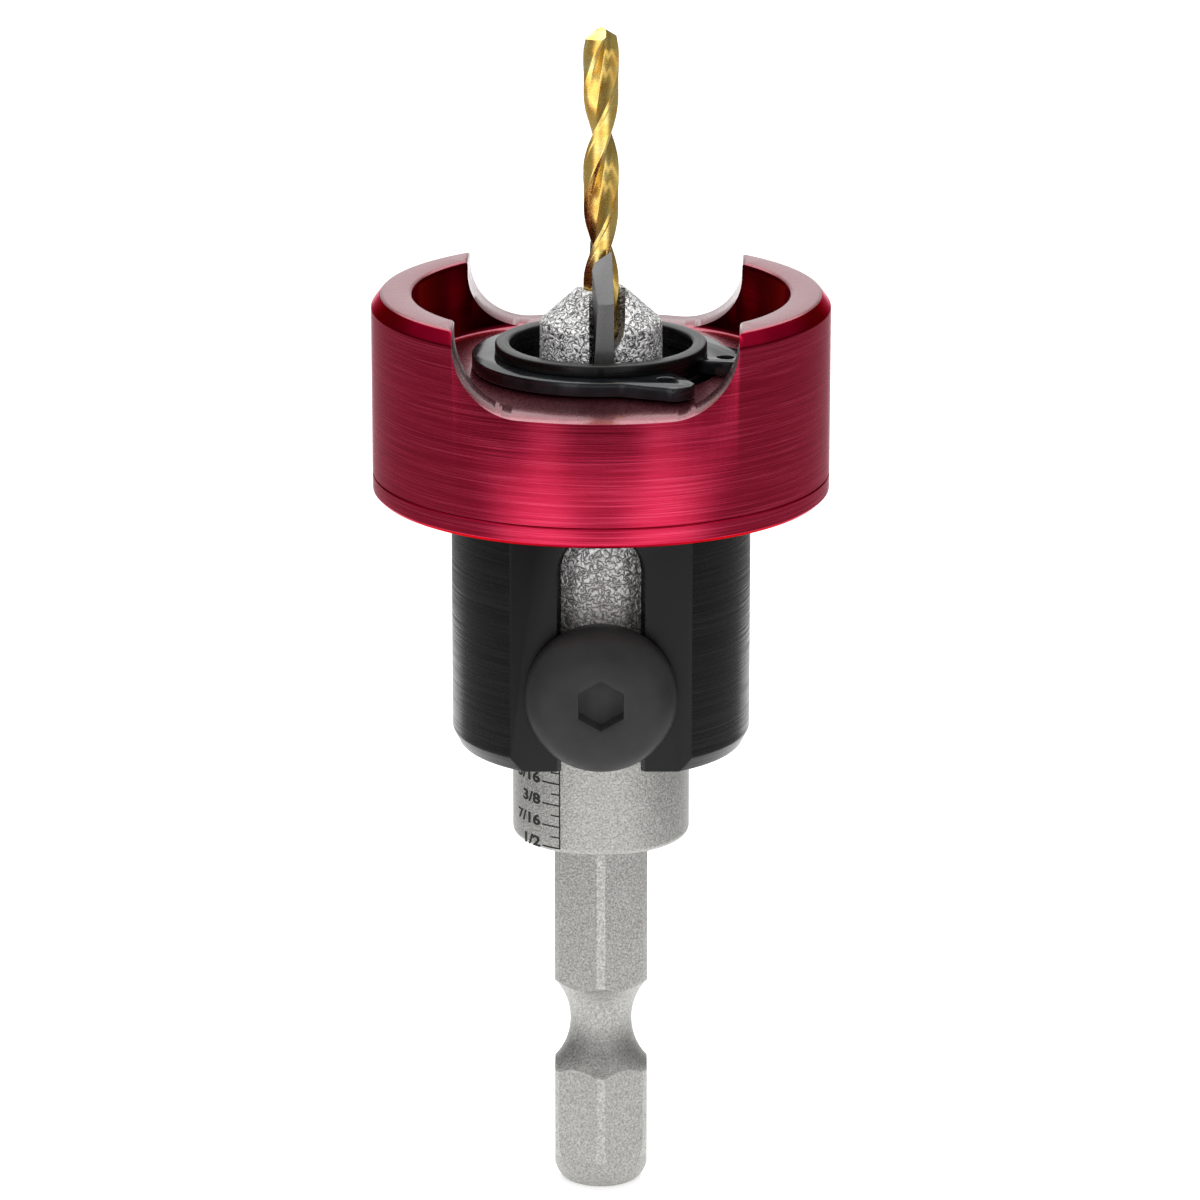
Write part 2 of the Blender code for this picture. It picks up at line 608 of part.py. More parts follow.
def shield_seat():
    """Depth of the step in the outer race that each shield snaps into."""
    return (BEARING_SECTION / 2 - BALL_RADIUS) * 0.4


def make_cage(material, parent):
    inside = BALL_PITCH_RADIUS - CAGE_THICKNESS / 2
    outside = BALL_PITCH_RADIUS + CAGE_THICKNESS / 2
    half = CAGE_WIDTH / 2
    cage = turned("cage", [(inside, -half), (outside, -half), (outside, half), (inside, half)], 24)
    reach = outside + OVERSHOOT
    pocket = BALL_RADIUS + 2 * BALL_CLEARANCE
    for i in range(BALL_COUNT):
        tool = turned("pocket", [(0, 0), (pocket, 0), (pocket, reach), (0, reach)], 10)
        cut(cage, aimed(aimed(tool, "Y", 90), "Z", 360 * i / BALL_COUNT))
    finish(cage, "bearing_cage", material, parent)


def make_balls(material, parent):
    bm = bmesh.new()
    bmesh.ops.create_uvsphere(bm, u_segments=8, v_segments=6, radius=BALL_RADIUS)
    ball = to_object("ball", bm)
    for i in range(BALL_COUNT):
        copy = ball if i == 0 else bpy.data.objects.new("ball", ball.data)
        if i:
            bpy.context.scene.collection.objects.link(copy)
        copy.location = (*polar(BALL_PITCH_RADIUS, 360 * i / BALL_COUNT), 0)
        finish(copy, f"bearing_ball_{i + 1:02d}", material, parent, 180)


# Stop collar: cup with a floor, a bearing pocket below it and two chip windows
def make_collar(material, parent):
    """Heights here are from the middle of the bearing, which is the collar's own origin."""
    floor = COLLAR_FLOOR - RACE_MIDDLE
    rim = COLLAR_RIM - RACE_MIDDLE
    ceiling = FLANGE_BOTTOM - RACE_MIDDLE
    bottom = COLLAR_BOTTOM - RACE_MIDDLE
    hole = TUBE_RADIUS + FLANGE_HOLE_CLEARANCE
    relief = RACE_OUTSIDE - BEARING_SECTION / 4
    lip = arc(COLLAR_INSIDE + RIM_INNER_ROUNDING, rim - RIM_INNER_ROUNDING, RIM_INNER_ROUNDING, 90, 180, 2)
    fillet = arc(COLLAR_INSIDE - FLOOR_FILLET, floor + FLOOR_FILLET, FLOOR_FILLET, 0, -90, 3)
    collar = turned("collar", [
        (POCKET_RADIUS + POCKET_CHAMFER, bottom), (COLLAR_RADIUS - SKIRT_CHAMFER, bottom),
        (COLLAR_RADIUS, bottom + SKIRT_CHAMFER), (COLLAR_RADIUS, rim - RIM_CHAMFER_HEIGHT),
        (COLLAR_RADIUS - RIM_CHAMFER_WIDTH, rim), *lip, *fillet, (hole, floor),
        (hole, ceiling + FLANGE_RELIEF),
        (relief, ceiling + FLANGE_RELIEF), (relief, ceiling), (POCKET_RADIUS, ceiling),
        (POCKET_RADIUS, bottom + POCKET_CHAMFER),
    ], 64)
    corner_x = CUT_OUT_HALF_WIDTH - CUT_OUT_CORNER
    side = arc(corner_x, floor + CUT_OUT_CORNER, CUT_OUT_CORNER, -90, 0, 10)
    side += arc(CUT_OUT_HALF_WIDTH + CUT_OUT_TIP_ROUNDING, rim - CUT_OUT_TIP_ROUNDING,
                CUT_OUT_TIP_ROUNDING, 180, 90, 3)
    side.append((CUT_OUT_HALF_WIDTH + CUT_OUT_TIP_ROUNDING, rim + OVERSHOOT))
    window = side + [(-x, z) for x, z in reversed(side)]
    wide = COLLAR_RADIUS + OVERSHOOT
    cut(collar, aimed(crosswise("windows", window, -wide, wide), "Z", CUT_OUT_AZIMUTH))
    finish(collar, "stop_collar", material, parent)


# Materials
BLASTED_STEEL = principled("blasted_steel", (0.42, 0.42, 0.39), 0.9, 0.5)
BLACK_OXIDE = principled("black_oxide_steel", (0.02, 0.02, 0.022), 0.7, 0.35)
SPRING_STEEL = principled("black_spring_steel", (0.015, 0.016, 0.018), 0.7, 0.25)
RED_ANODISED = principled("red_anodised_aluminium", (0.50, 0.03, 0.08), 0.85, 0.35)
CARBIDE = principled("tungsten_carbide", (0.20, 0.20, 0.20), 0.7, 0.45)
COATED_STEEL = principled("nitride_coated_steel", (0.80, 0.52, 0.18), 1.0, 0.28)
BEARING_STEEL = principled("bearing_steel", (0.60, 0.60, 0.60), 1.0, 0.2)
SHIELD_STEEL = principled("shield_steel", (0.12, 0.12, 0.12), 0.8, 0.4)
CAGE_PLASTIC = principled("cage_plastic", (0.75, 0.70, 0.58), 0.0, 0.5)

# The four bodies; each empty sits on its joint's axis
cutter = body_frame("cutter_axis", 0)
sleeve = body_frame("sleeve_axis", SLEEVE_BOTTOM, cutter)
collar = body_frame("collar_axis", RACE_MIDDLE, sleeve)
cage = body_frame("cage_axis", RACE_MIDDLE, sleeve)

make_cutter_body(BLASTED_STEEL, cutter)
make_blade("carbide_blade_front", 0, CARBIDE, cutter)
make_blade("carbide_blade_rear", 180, CARBIDE, cutter)
make_drill(COATED_STEEL, cutter)
make_grub_screw("drill_grub_screw_lower", GRUB_HEIGHTS[0], BLACK_OXIDE, cutter)
make_grub_screw("drill_grub_screw_upper", GRUB_HEIGHTS[1], BLACK_OXIDE, cutter)
make_clamp_screw(BLACK_OXIDE, cutter)
make_sleeve(BLACK_OXIDE, sleeve)
make_circlip(SPRING_STEEL, sleeve)
make_races(BEARING_STEEL, sleeve, collar)
make_cage(CAGE_PLASTIC, cage)
make_balls(BEARING_STEEL, cage)
make_collar(RED_ANODISED, collar)
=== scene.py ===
"""Looks for the countersink bit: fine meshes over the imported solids, their finishes, light and camera."""

import math

import bmesh
import bpy
from mathutils import Matrix, Vector


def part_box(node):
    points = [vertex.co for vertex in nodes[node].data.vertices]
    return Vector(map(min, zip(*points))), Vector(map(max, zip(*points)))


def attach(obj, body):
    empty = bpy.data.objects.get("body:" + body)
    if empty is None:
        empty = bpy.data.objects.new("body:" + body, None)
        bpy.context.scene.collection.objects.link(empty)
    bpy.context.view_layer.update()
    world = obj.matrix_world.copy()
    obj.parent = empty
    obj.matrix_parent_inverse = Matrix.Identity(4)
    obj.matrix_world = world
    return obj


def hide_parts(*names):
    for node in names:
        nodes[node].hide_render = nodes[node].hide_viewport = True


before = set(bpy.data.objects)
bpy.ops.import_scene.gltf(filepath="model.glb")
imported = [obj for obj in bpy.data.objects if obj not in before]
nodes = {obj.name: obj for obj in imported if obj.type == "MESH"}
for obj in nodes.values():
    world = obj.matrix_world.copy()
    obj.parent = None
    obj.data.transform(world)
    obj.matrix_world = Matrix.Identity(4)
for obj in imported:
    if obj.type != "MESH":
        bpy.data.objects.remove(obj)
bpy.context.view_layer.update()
MM = 0.001


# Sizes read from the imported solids
def radius_of(node):
    low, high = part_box(node)
    return (high.x - low.x) / 2


def heights_of(node):
    low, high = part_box(node)
    return low.z, high.z


COLLAR_BOTTOM, COLLAR_RIM = heights_of("stop_collar")
COLLAR_RADIUS = radius_of("stop_collar")
SLEEVE_BOTTOM, TUBE_TOP = heights_of("stop_sleeve")
BARREL_RADIUS = radius_of("stop_sleeve")
FLAT_DISTANCE = -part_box("stop_sleeve")[0].y
RACE_BOTTOM, RACE_TOP = heights_of("bearing_inner_race")
RACE_OUTSIDE = radius_of("bearing_outer_race")
CLIP_BOTTOM, CLIP_TOP = heights_of("circlip")
HEAD_TOP = heights_of("cutter_body")[1]
BODY_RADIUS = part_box("cutter_body")[1].y
DRILL_BASE, DRILL_TIP = heights_of("twist_drill")
DRILL_RADIUS = 1.19 * MM
CLAMP_LOW, CLAMP_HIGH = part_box("clamp_screw")
CLAMP_HEIGHT = (CLAMP_LOW.z + CLAMP_HIGH.z) / 2
CLAMP_HEAD_RADIUS = (CLAMP_HIGH.z - CLAMP_LOW.z) / 2
BLADE_BOTTOM, BLADE_TOP = heights_of("carbide_blade_front")

# Sizes that the boxes don't give
COLLAR_FLOOR = COLLAR_RIM - 5.23 * MM
COLLAR_INSIDE = COLLAR_RADIUS - 2.82 * MM
POCKET_RADIUS = RACE_OUTSIDE + 0.02 * MM
WINDOW_HALF = 9.35 * MM
WINDOW_CORNER = 4.35 * MM
WINDOW_TIP = 0.3 * MM
WINDOW_REACH = WINDOW_HALF + WINDOW_TIP
WINDOW_AZIMUTH = -1.8
GROOVE_LINE = COLLAR_BOTTOM + 1.35 * MM
GROOVE_DEPTH = 0.08 * MM
CHAMFER_START = COLLAR_RIM - 0.9 * MM
SLEEVE_BORE = 6.10 * MM
TUBE_RADIUS = 7.10 * MM
SEAT_RADIUS = 7.48 * MM
SHOULDER_RADIUS = 8.05 * MM
CLIP_BORE = 6.77 * MM
CLIP_AZIMUTH = -34.4
SLOT_HALF = 2.66 * MM
SLOT_ARC = SLEEVE_BOTTOM + 13.91 * MM
SHANK_TOP = 25.3 * MM
SHANK_END = 1.2 * MM
HEX_FLATS = 6.35 * MM
BODY_TOP = 51.0 * MM
HEAD_RADIUS = 4.1 * MM
CONE_BASE = 61.15 * MM
BORE_RADIUS = 1.25 * MM
BORE_END = 24.1 * MM
FLUTE_LEAD = 15.3 * MM
FLUTE_PHASE = 27.5
SHANK_CORNER_RADIUS = 3.51 * MM
BLADE_RISE = 2.95 * MM
CRUMPLE_START = 34 * MM
CRUMPLE_FULL = 50 * MM


# Mesh helpers
def arc(x, y, radius, start, end, steps):
    """Points along an arc, with angles in degrees."""
    angles = [math.radians(start + (end - start) * i / steps) for i in range(steps + 1)]
    return [(x + radius * math.cos(a), y + radius * math.sin(a)) for a in angles]


def polar(radius, degrees):
    a = math.radians(degrees)
    return radius * math.cos(a), radius * math.sin(a)


def rounded(outline, radii, steps=4):
    """The closed outline with each corner that has a radius turned into an arc."""
    points = []
    count = len(outline)
    for i, radius in enumerate(radii):
        here = Vector(outline[i])
        if not radius:
            points.append(tuple(here))
            continue
        before = (Vector(outline[i - 1]) - here).normalized()
        after = (Vector(outline[(i + 1) % count]) - here).normalized()
        half = before.angle(after) / 2
        reach = radius / math.tan(half)
        centre = here + (before + after).normalized() * (radius / math.sin(half))
        start = here + before * reach - centre
        end = here + after * reach - centre
        for k in range(steps + 1):
            points.append(tuple(centre + start.slerp(end, k / steps).normalized() * radius))
    return points


def to_object(name, bm):
    bmesh.ops.remove_doubles(bm, verts=bm.verts, dist=2e-7)
    bmesh.ops.recalc_face_normals(bm, faces=bm.faces)
    mesh = bpy.data.meshes.new(name)
    bm.to_mesh(mesh)
    bm.free()
    obj = bpy.data.objects.new(name, mesh)
    bpy.context.scene.collection.objects.link(obj)
    return obj


def turned(name, outline, steps, offset=0.0):
    """Spins a closed (radius, height) outline about Z."""
    bm = bmesh.new()
    start = Matrix.Rotation(2 * math.pi * offset / steps, 4, "Z")
    verts = [bm.verts.new(start @ Vector((radius, 0, height))) for radius, height in outline]
    edges = []
    for i, point in enumerate(outline):
        if point[0] or outline[i - 1][0]:
            edges.append(bm.edges.new((verts[i - 1], verts[i])))
    bmesh.ops.spin(
        bm, geom=verts + edges, cent=(0, 0, 0), axis=(0, 0, 1),
        angle=2 * math.pi, steps=steps, use_merge=True,
    )
    return to_object(name, bm)


def extruded(name, outline, far_outline):
    """Extrudes a closed outline of 3-D points to a second one with as many points."""
    bm = bmesh.new()
    near = bm.faces.new([bm.verts.new(point) for point in outline])
    grown = bmesh.ops.extrude_face_region(bm, geom=[near])["geom"]
    far = next(item for item in grown if isinstance(item, bmesh.types.BMFace))
    for vert, point in zip(far.verts, far_outline):
        vert.co = point
    return to_object(name, bm)


def upright(name, outline, bottom, top):
    return extruded(name, [(x, y, bottom) for x, y in outline], [(x, y, top) for x, y in outline])


def crosswise(name, outline, front, back):
    return extruded(name, [(x, front, z) for x, z in outline], [(x, back, z) for x, z in outline])


def aimed(obj, axis, degrees, height=0.0):
    turn = Matrix.Rotation(math.radians(degrees), 4, axis)
    obj.data.transform(Matrix.Translation((0, 0, height)) @ turn)
    return obj


def evaluated(obj):
    """Applies the object's modifiers."""
    graph = bpy.context.evaluated_depsgraph_get()
    result = bpy.data.meshes.new_from_object(obj.evaluated_get(graph))
    obj.modifiers.clear()
    obj.data = result
    return obj


def combine(obj, tool, operation):
    step = obj.modifiers.new(operation.lower(), "BOOLEAN")
    step.operation = operation
    step.solver = "EXACT"
    step.object = tool
    evaluated(obj)
    bpy.data.objects.remove(tool)
    bm = bmesh.new()
    bm.from_mesh(obj.data)
    bmesh.ops.remove_doubles(bm, verts=bm.verts, dist=2e-7)
    bmesh.ops.dissolve_degenerate(bm, edges=bm.edges, dist=2e-7)
    bm.to_mesh(obj.data)
    bm.free()
    return obj


def cut(obj, tool):
    return combine(obj, tool, "DIFFERENCE")


def edged(obj, width, angle=40, segments=2):
    """Rounds the edges that are sharper than an angle."""
    bevel = obj.modifiers.new("edges", "BEVEL")
    bevel.width = width
    bevel.segments = segments
    bevel.limit_method = "ANGLE"
    bevel.angle_limit = math.radians(angle)
    bevel.use_clamp_overlap = True
    bevel.miter_outer = "MITER_ARC"
    return evaluated(obj)


def stand_for(obj, name, node, material, body, sharp=35):
    """Gives a fine mesh its finish and lets it take the place of its CAD node."""
    obj.name = name
    obj.data.name = name
    obj.data.materials.clear()
    obj.data.materials.append(material)
    obj.data.shade_smooth()
    obj.data.set_sharp_from_angle(angle=math.radians(sharp))
    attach(obj, body)
    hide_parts(node)
    return obj


# Node helpers
class Graph:
    """Short calls for the nodes of a material or a world."""

    def __init__(self, tree):
        self.tree = tree

    def node(self, kind, **settings):
        node = self.tree.nodes.new(kind)
        for name, value in settings.items():
            setattr(node, name, value)
        return node

    def link(self, source, target):
        self.tree.links.new(source, target)

    def math(self, operation, a, b=0.0):
        node = self.node("ShaderNodeMath", operation=operation)
        for socket, value in zip(node.inputs, (a, b)):
            if isinstance(value, (int, float)):
                socket.default_value = value
            else:
                self.link(value, socket)
        return node.outputs[0]

    def split(self, vector):
        """The x, y and z of a vector."""
        node = self.node("ShaderNodeSeparateXYZ")
        self.link(vector, node.inputs[0])
        return node.outputs

    def span(self, value, start, end, low=0.0, high=1.0):
        """A value that goes from low to high while the input goes from start to end."""
        node = self.node("ShaderNodeMapRange")
        self.link(value, node.inputs["Value"])
        node.inputs["From Min"].default_value = start
        node.inputs["From Max"].default_value = end
        node.inputs["To Min"].default_value = low
        node.inputs["To Max"].default_value = high
        return node.outputs[0]


class Recipe(Graph):
    """A Principled material."""

    def __init__(self, name, colour, metallic, roughness):
        self.material = bpy.data.materials.new(name)
        self.material.use_nodes = True
        super().__init__(self.material.node_tree)
        self.shader = self.tree.nodes["Principled BSDF"]
        self.set(**{"Base Color": (*colour, 1), "Metallic": metallic, "Roughness": roughness})

    def set(self, **values):
        for name, value in values.items():
            self.shader.inputs[name.replace("_", " ")].default_value = value
        return self

    def place(self):
        """The point on the piece, in metres."""
        return self.node("ShaderNodeTexCoord").outputs["Object"]

    def reach(self, x, y):
        """Distance from the axis."""
        squares = self.math("ADD", self.math("MULTIPLY", x, x), self.math("MULTIPLY", y, y))
        return self.math("SQRT", squares)

    def around(self, turn_scale, height_scale, radius_scale):
        """Coordinates that run round the axis, along it and outwards, each with its own scale."""
        x, y, z = self.split(self.place())
        turn = self.math("MULTIPLY", self.math("ARCTAN2", y, x), turn_scale)
        radius = self.reach(x, y)
        joined = self.node("ShaderNodeCombineXYZ")
        self.link(turn, joined.inputs[0])
        self.link(self.math("MULTIPLY", z, height_scale), joined.inputs[1])
        self.link(self.math("MULTIPLY", radius, radius_scale), joined.inputs[2])
        return joined.outputs[0]

    def noise(self, where, scale, detail=3.0, rough=0.55, distortion=0.0):
        node = self.node("ShaderNodeTexNoise")
        node.inputs["Scale"].default_value = scale
        node.inputs["Detail"].default_value = detail
        node.inputs["Roughness"].default_value = rough
        node.inputs["Distortion"].default_value = distortion
        self.link(where, node.inputs["Vector"])
        return node.outputs["Fac"]

    def ramp(self, factor, *stops):
        """A colour ramp of (position, grey or colour) stops."""
        node = self.node("ShaderNodeValToRGB")
        elements = node.color_ramp.elements
        while len(elements) < len(stops):
            elements.new(0.5)
        for element, (position, value) in zip(elements, stops):
            element.position = position
            element.color = (value, value, value, 1) if isinstance(value, (int, float)) else (*value, 1)
        self.link(factor, node.inputs[0])
        return node.outputs[0]

    def bump(self, height, distance, strength=1.0, under=None):
        node = self.node("ShaderNodeBump")
        node.inputs["Distance"].default_value = distance
        node.inputs["Strength"].default_value = strength
        self.link(height, node.inputs["Height"])
        if under:
            self.link(under, node.inputs["Normal"])
        return node.outputs["Normal"]

    def drive(self, socket, output):
        self.link(output, self.shader.inputs[socket])

    def base(self, output):
        self.drive("Base Color", output)

    def roughness(self, output):
        self.drive("Roughness", output)

    def normal(self, output):
        self.drive("Normal", output)


# Finishes
def brushed_red():
    """Anodised aluminium with brush lines round the axis."""
    recipe = Recipe("brushed_red", (0.52, 0.006, 0.045), 1.0, 0.25)
    recipe.set(Anisotropic=0.3, Specular_Tint=(1.0, 0.55, 0.65, 1))
    recipe.set(Coat_Weight=0.25, Coat_Roughness=0.2)
    tangent = recipe.node("ShaderNodeTangent", direction_type="RADIAL", axis="Z")
    recipe.drive("Tangent", tangent.outputs[0])
    lines = recipe.around(1.8, 12000.0, 12000.0)
    fine = recipe.noise(lines, 1.0, 2.0, 0.7)
    broad = recipe.noise(lines, 0.2, 2.0, 0.6)
    both = recipe.math("ADD", recipe.math("MULTIPLY", fine, 0.85), recipe.math("MULTIPLY", broad, 0.15))
    recipe.base(recipe.ramp(
        both, (0.30, (0.36, 0.003, 0.028)), (0.5, (0.54, 0.010, 0.055)), (0.70, (0.76, 0.055, 0.13)),
    ))
    recipe.roughness(recipe.ramp(fine, (0.3, 0.20), (0.75, 0.32)))
    recipe.normal(recipe.bump(fine, 0.000010, 0.5))
    return recipe.material


def polished_red(name, tone):
    """The collar's turned faces, smoother than its outside; a low tone gives a darker copy that carries
    painted shade.
    """
    recipe = Recipe(name, (tone, 0.010 * tone, 0.075 * tone), 1.0, 0.2)
    recipe.set(Specular_Tint=(1.0, 0.25, 0.35, 1))
    recipe.set(Coat_Weight=0.02, Coat_Roughness=0.08, Coat_IOR=1.5)
    lines = recipe.noise(recipe.around(1.2, 5000.0, 5000.0), 1.0, 2.0, 0.6)
    stain = recipe.noise(recipe.place(), 500.0, 3.0, 0.5)
    dull = (0.85 * tone, 0.008 * tone, 0.06 * tone)
    bright = (1.15 * tone, 0.012 * tone, 0.09 * tone)
    recipe.base(recipe.ramp(stain, (0.3, dull), (0.7, bright)))
    recipe.roughness(recipe.ramp(lines, (0.3, 0.15), (0.75, 0.26)))
    recipe.normal(recipe.bump(lines, 0.000006, 0.5))
    return recipe.material


def milled_red():
    """The rim and the window's walls, paler under a thick clear layer, with the cutter's upright marks."""
    recipe = Recipe("milled_red", (0.24, 0.055, 0.075), 1.0, 0.3)
    recipe.set(Coat_Weight=0.6, Coat_Roughness=0.12, Coat_IOR=1.45)
    marks = recipe.noise(recipe.around(70.0, 60.0, 900.0), 1.0, 2.0, 0.6)
    grain = recipe.noise(recipe.place(), 6000.0, 2.0, 0.6)
    recipe.base(recipe.ramp(marks, (0.3, (0.22, 0.03, 0.05)), (0.7, (0.30, 0.055, 0.078))))
    recipe.roughness(recipe.ramp(grain, (0.3, 0.24), (0.75, 0.36)))
    recipe.normal(recipe.bump(marks, 0.00001, 0.4))
    return recipe.material


def blasted_steel(name, tone):
    """Fine sandblast on the shank, turning to a coarse crumple towards the cutter head; the crumple's
    creases and ridges carry painted shade and glints.
    """
    recipe = Recipe(name, (tone, 0.99 * tone, 0.95 * tone), 1.0, 0.42)
    place = recipe.place()
    fine = recipe.noise(place, 7000.0, 2.0, 0.7)
    folds = recipe.noise(place, 2500.0, 1.0, 0.5, 0.8)
    coarse = recipe.math("ABSOLUTE", recipe.math("SUBTRACT", folds, 0.5))
    share = recipe.span(recipe.split(place)[2], CRUMPLE_START, CRUMPLE_FULL)
    small = recipe.bump(fine, 0.00006, 0.7)
    recipe.normal(recipe.bump(recipe.math("MULTIPLY", coarse, share), 0.0006, 1.0, small))
    grey = recipe.ramp(
        fine, (0.3, (0.62 * tone, 0.61 * tone, 0.58 * tone)), (0.5, (tone, 0.99 * tone, 0.95 * tone)),
        (0.7, (1.45 * tone, 1.44 * tone, 1.38 * tone)),
    )
    # Painted shade and glints: the crumple's creases go near black and its ridges white.
    crumple_shade_and_glints = recipe.ramp(
        coarse, (0.012, (0.02, 0.02, 0.03)), (0.04, (0.35, 0.35, 0.35)), (0.09, (1.0, 1.0, 1.0)),
    )
    mixed = recipe.node("ShaderNodeMix", data_type="RGBA")
    recipe.link(recipe.math("MULTIPLY", share, 0.9), mixed.inputs["Factor"])
    recipe.link(grey, mixed.inputs[6])
    recipe.link(crumple_shade_and_glints, mixed.inputs[7])
    recipe.base(mixed.outputs[2])
    recipe.drive("Metallic", recipe.math("SUBTRACT", 1.0, recipe.math("MULTIPLY", share, 0.8)))
    grain = recipe.ramp(fine, (0.3, 0.40), (0.7, 0.50))
    recipe.roughness(recipe.math("SUBTRACT", grain, recipe.math("MULTIPLY", share, 0.12)))
    return recipe.material


def black_oxide(name, roughness, depth, tone):
    """Black oxide with turning lines round the axis."""
    recipe = Recipe(name, (tone, tone, tone), 0.0, roughness)
    recipe.set(IOR=1.38)
    lines = recipe.noise(recipe.around(1.1, 4200.0, 4200.0), 1.0, 2.0, 0.65)
    specks = recipe.noise(recipe.place(), 5200.0, 3.0, 0.7)
    both = recipe.math("ADD", recipe.math("MULTIPLY", lines, 0.7), recipe.math("MULTIPLY", specks, 0.3))
    recipe.base(recipe.ramp(both, (0.35, (0.5 * tone,) * 3), (0.5, (tone,) * 3), (0.7, (2.2 * tone,) * 3)))
    recipe.roughness(recipe.ramp(both, (0.3, roughness - 0.1), (0.75, roughness + 0.12)))
    recipe.normal(recipe.bump(lines, depth, 0.6))
    return recipe.material


def matt_black(name, tone, roughness):
    """Smooth black oxide without turning lines."""
    recipe = Recipe(name, (tone, tone, tone), 0.0, roughness).set(IOR=1.33)
    place = recipe.place()
    specks = recipe.noise(place, 6500.0, 2.0, 0.6)
    clouds = recipe.noise(place, 450.0, 3.0, 0.5)
    recipe.base(recipe.ramp(clouds, (0.3, (0.85 * tone,) * 3), (0.7, (1.15 * tone,) * 3)))
    recipe.roughness(recipe.ramp(specks, (0.3, roughness - 0.04), (0.75, roughness + 0.05)))
    recipe.normal(recipe.bump(specks, 0.000003, 0.5))
    return recipe.material


def gloss_black():
    recipe = Recipe("gloss_black_spring_steel", (0.008, 0.009, 0.010), 0.0, 0.14)
    place = recipe.place()
    waves = recipe.noise(place, 700.0, 3.0, 0.5)
    specks = recipe.noise(place, 5200.0, 2.0, 0.6)
    recipe.base(recipe.ramp(waves, (0.3, (0.005, 0.006, 0.007)), (0.75, (0.014, 0.016, 0.018))))
    recipe.roughness(recipe.ramp(specks, (0.3, 0.08), (0.75, 0.2)))
    recipe.normal(recipe.bump(waves, 0.00002, 0.3))
    return recipe.material


def gold_coating():
    recipe = Recipe("gold_drill_coating", (1.0, 0.66, 0.17), 1.0, 0.26)
    place = recipe.place()
    blotch = recipe.noise(place, 800.0, 4.0, 0.6)
    ground = recipe.noise(recipe.around(1.5, 9000.0, 9000.0), 1.0, 2.0, 0.6)
    recipe.base(recipe.ramp(
        blotch, (0.28, (0.95, 0.52, 0.10)), (0.5, (1.0, 0.70, 0.19)), (0.72, (1.0, 0.84, 0.36)),
    ))
    recipe.roughness(recipe.ramp(ground, (0.3, 0.22), (0.75, 0.34)))
    recipe.normal(recipe.bump(ground, 0.000008, 0.6))
    return recipe.material


def ground_carbide():
    """Carbide with the grinder's fine marks; the facet above the kink is painted paler, painted light for
    the light that facet catches.
    """
    recipe = Recipe("ground_carbide", (0.24, 0.24, 0.24), 0.85, 0.4)
    place = recipe.place()
    kink = BLADE_TOP - BLADE_RISE
    # Painted light: the base colour is paler above the kink, as that facet catches more light.
    paler_facet_painted_light = recipe.span(recipe.split(place)[2], kink - 0.03 * MM, kink + 0.03 * MM, 0.23, 0.28)
    grain = recipe.noise(place, 9000.0, 2.0, 0.6)
    spread = recipe.math("MULTIPLY", recipe.math("SUBTRACT", grain, 0.5), 0.18)
    tone = recipe.math("ADD", paler_facet_painted_light, spread)
    recipe.base(recipe.ramp(tone, (0.1, (0.10, 0.10, 0.10)), (0.9, (0.70, 0.70, 0.70))))
    recipe.roughness(recipe.ramp(grain, (0.3, 0.34), (0.75, 0.48)))
    recipe.normal(recipe.bump(grain, 0.000003, 0.5))
    return recipe.material


def ground_steel(name, colour, roughness):
    """Turned or ground bearing pieces."""
    recipe = Recipe(name, colour, 1.0, roughness)
    lines = recipe.noise(recipe.around(0.8, 7000.0, 7000.0), 1.0, 2.0, 0.6)
    low = tuple(0.8 * c for c in colour)
    high = tuple(min(1.15 * c, 1.0) for c in colour)
    recipe.base(recipe.ramp(lines, (0.3, low), (0.7, high)))
    recipe.roughness(recipe.ramp(lines, (0.3, roughness * 0.7), (0.75, roughness * 1.4)))
    recipe.normal(recipe.bump(lines, 0.000006, 0.5))
    return recipe.material


def moulded_cage():
    recipe = Recipe("moulded_cage", (0.66, 0.60, 0.47), 0.0, 0.5)
    grain = recipe.noise(recipe.place(), 2600.0, 4.0, 0.6)
    recipe.base(recipe.ramp(grain, (0.3, (0.58, 0.52, 0.40)), (0.7, (0.72, 0.66, 0.53))))
    recipe.roughness(recipe.ramp(grain, (0.3, 0.42), (0.75, 0.60)))
    recipe.normal(recipe.bump(grain, 0.00001, 0.5))
    return recipe.material


def engraved_ink():
    recipe = Recipe("engraved_ink", (0.012, 0.012, 0.012), 0.0, 0.6)
    grain = recipe.noise(recipe.place(), 7000.0, 3.0, 0.7)
    recipe.base(recipe.ramp(grain, (0.35, (0.004, 0.004, 0.004)), (0.7, (0.020, 0.019, 0.018))))
    recipe.roughness(recipe.ramp(grain, (0.3, 0.5), (0.75, 0.75)))
    return recipe.material


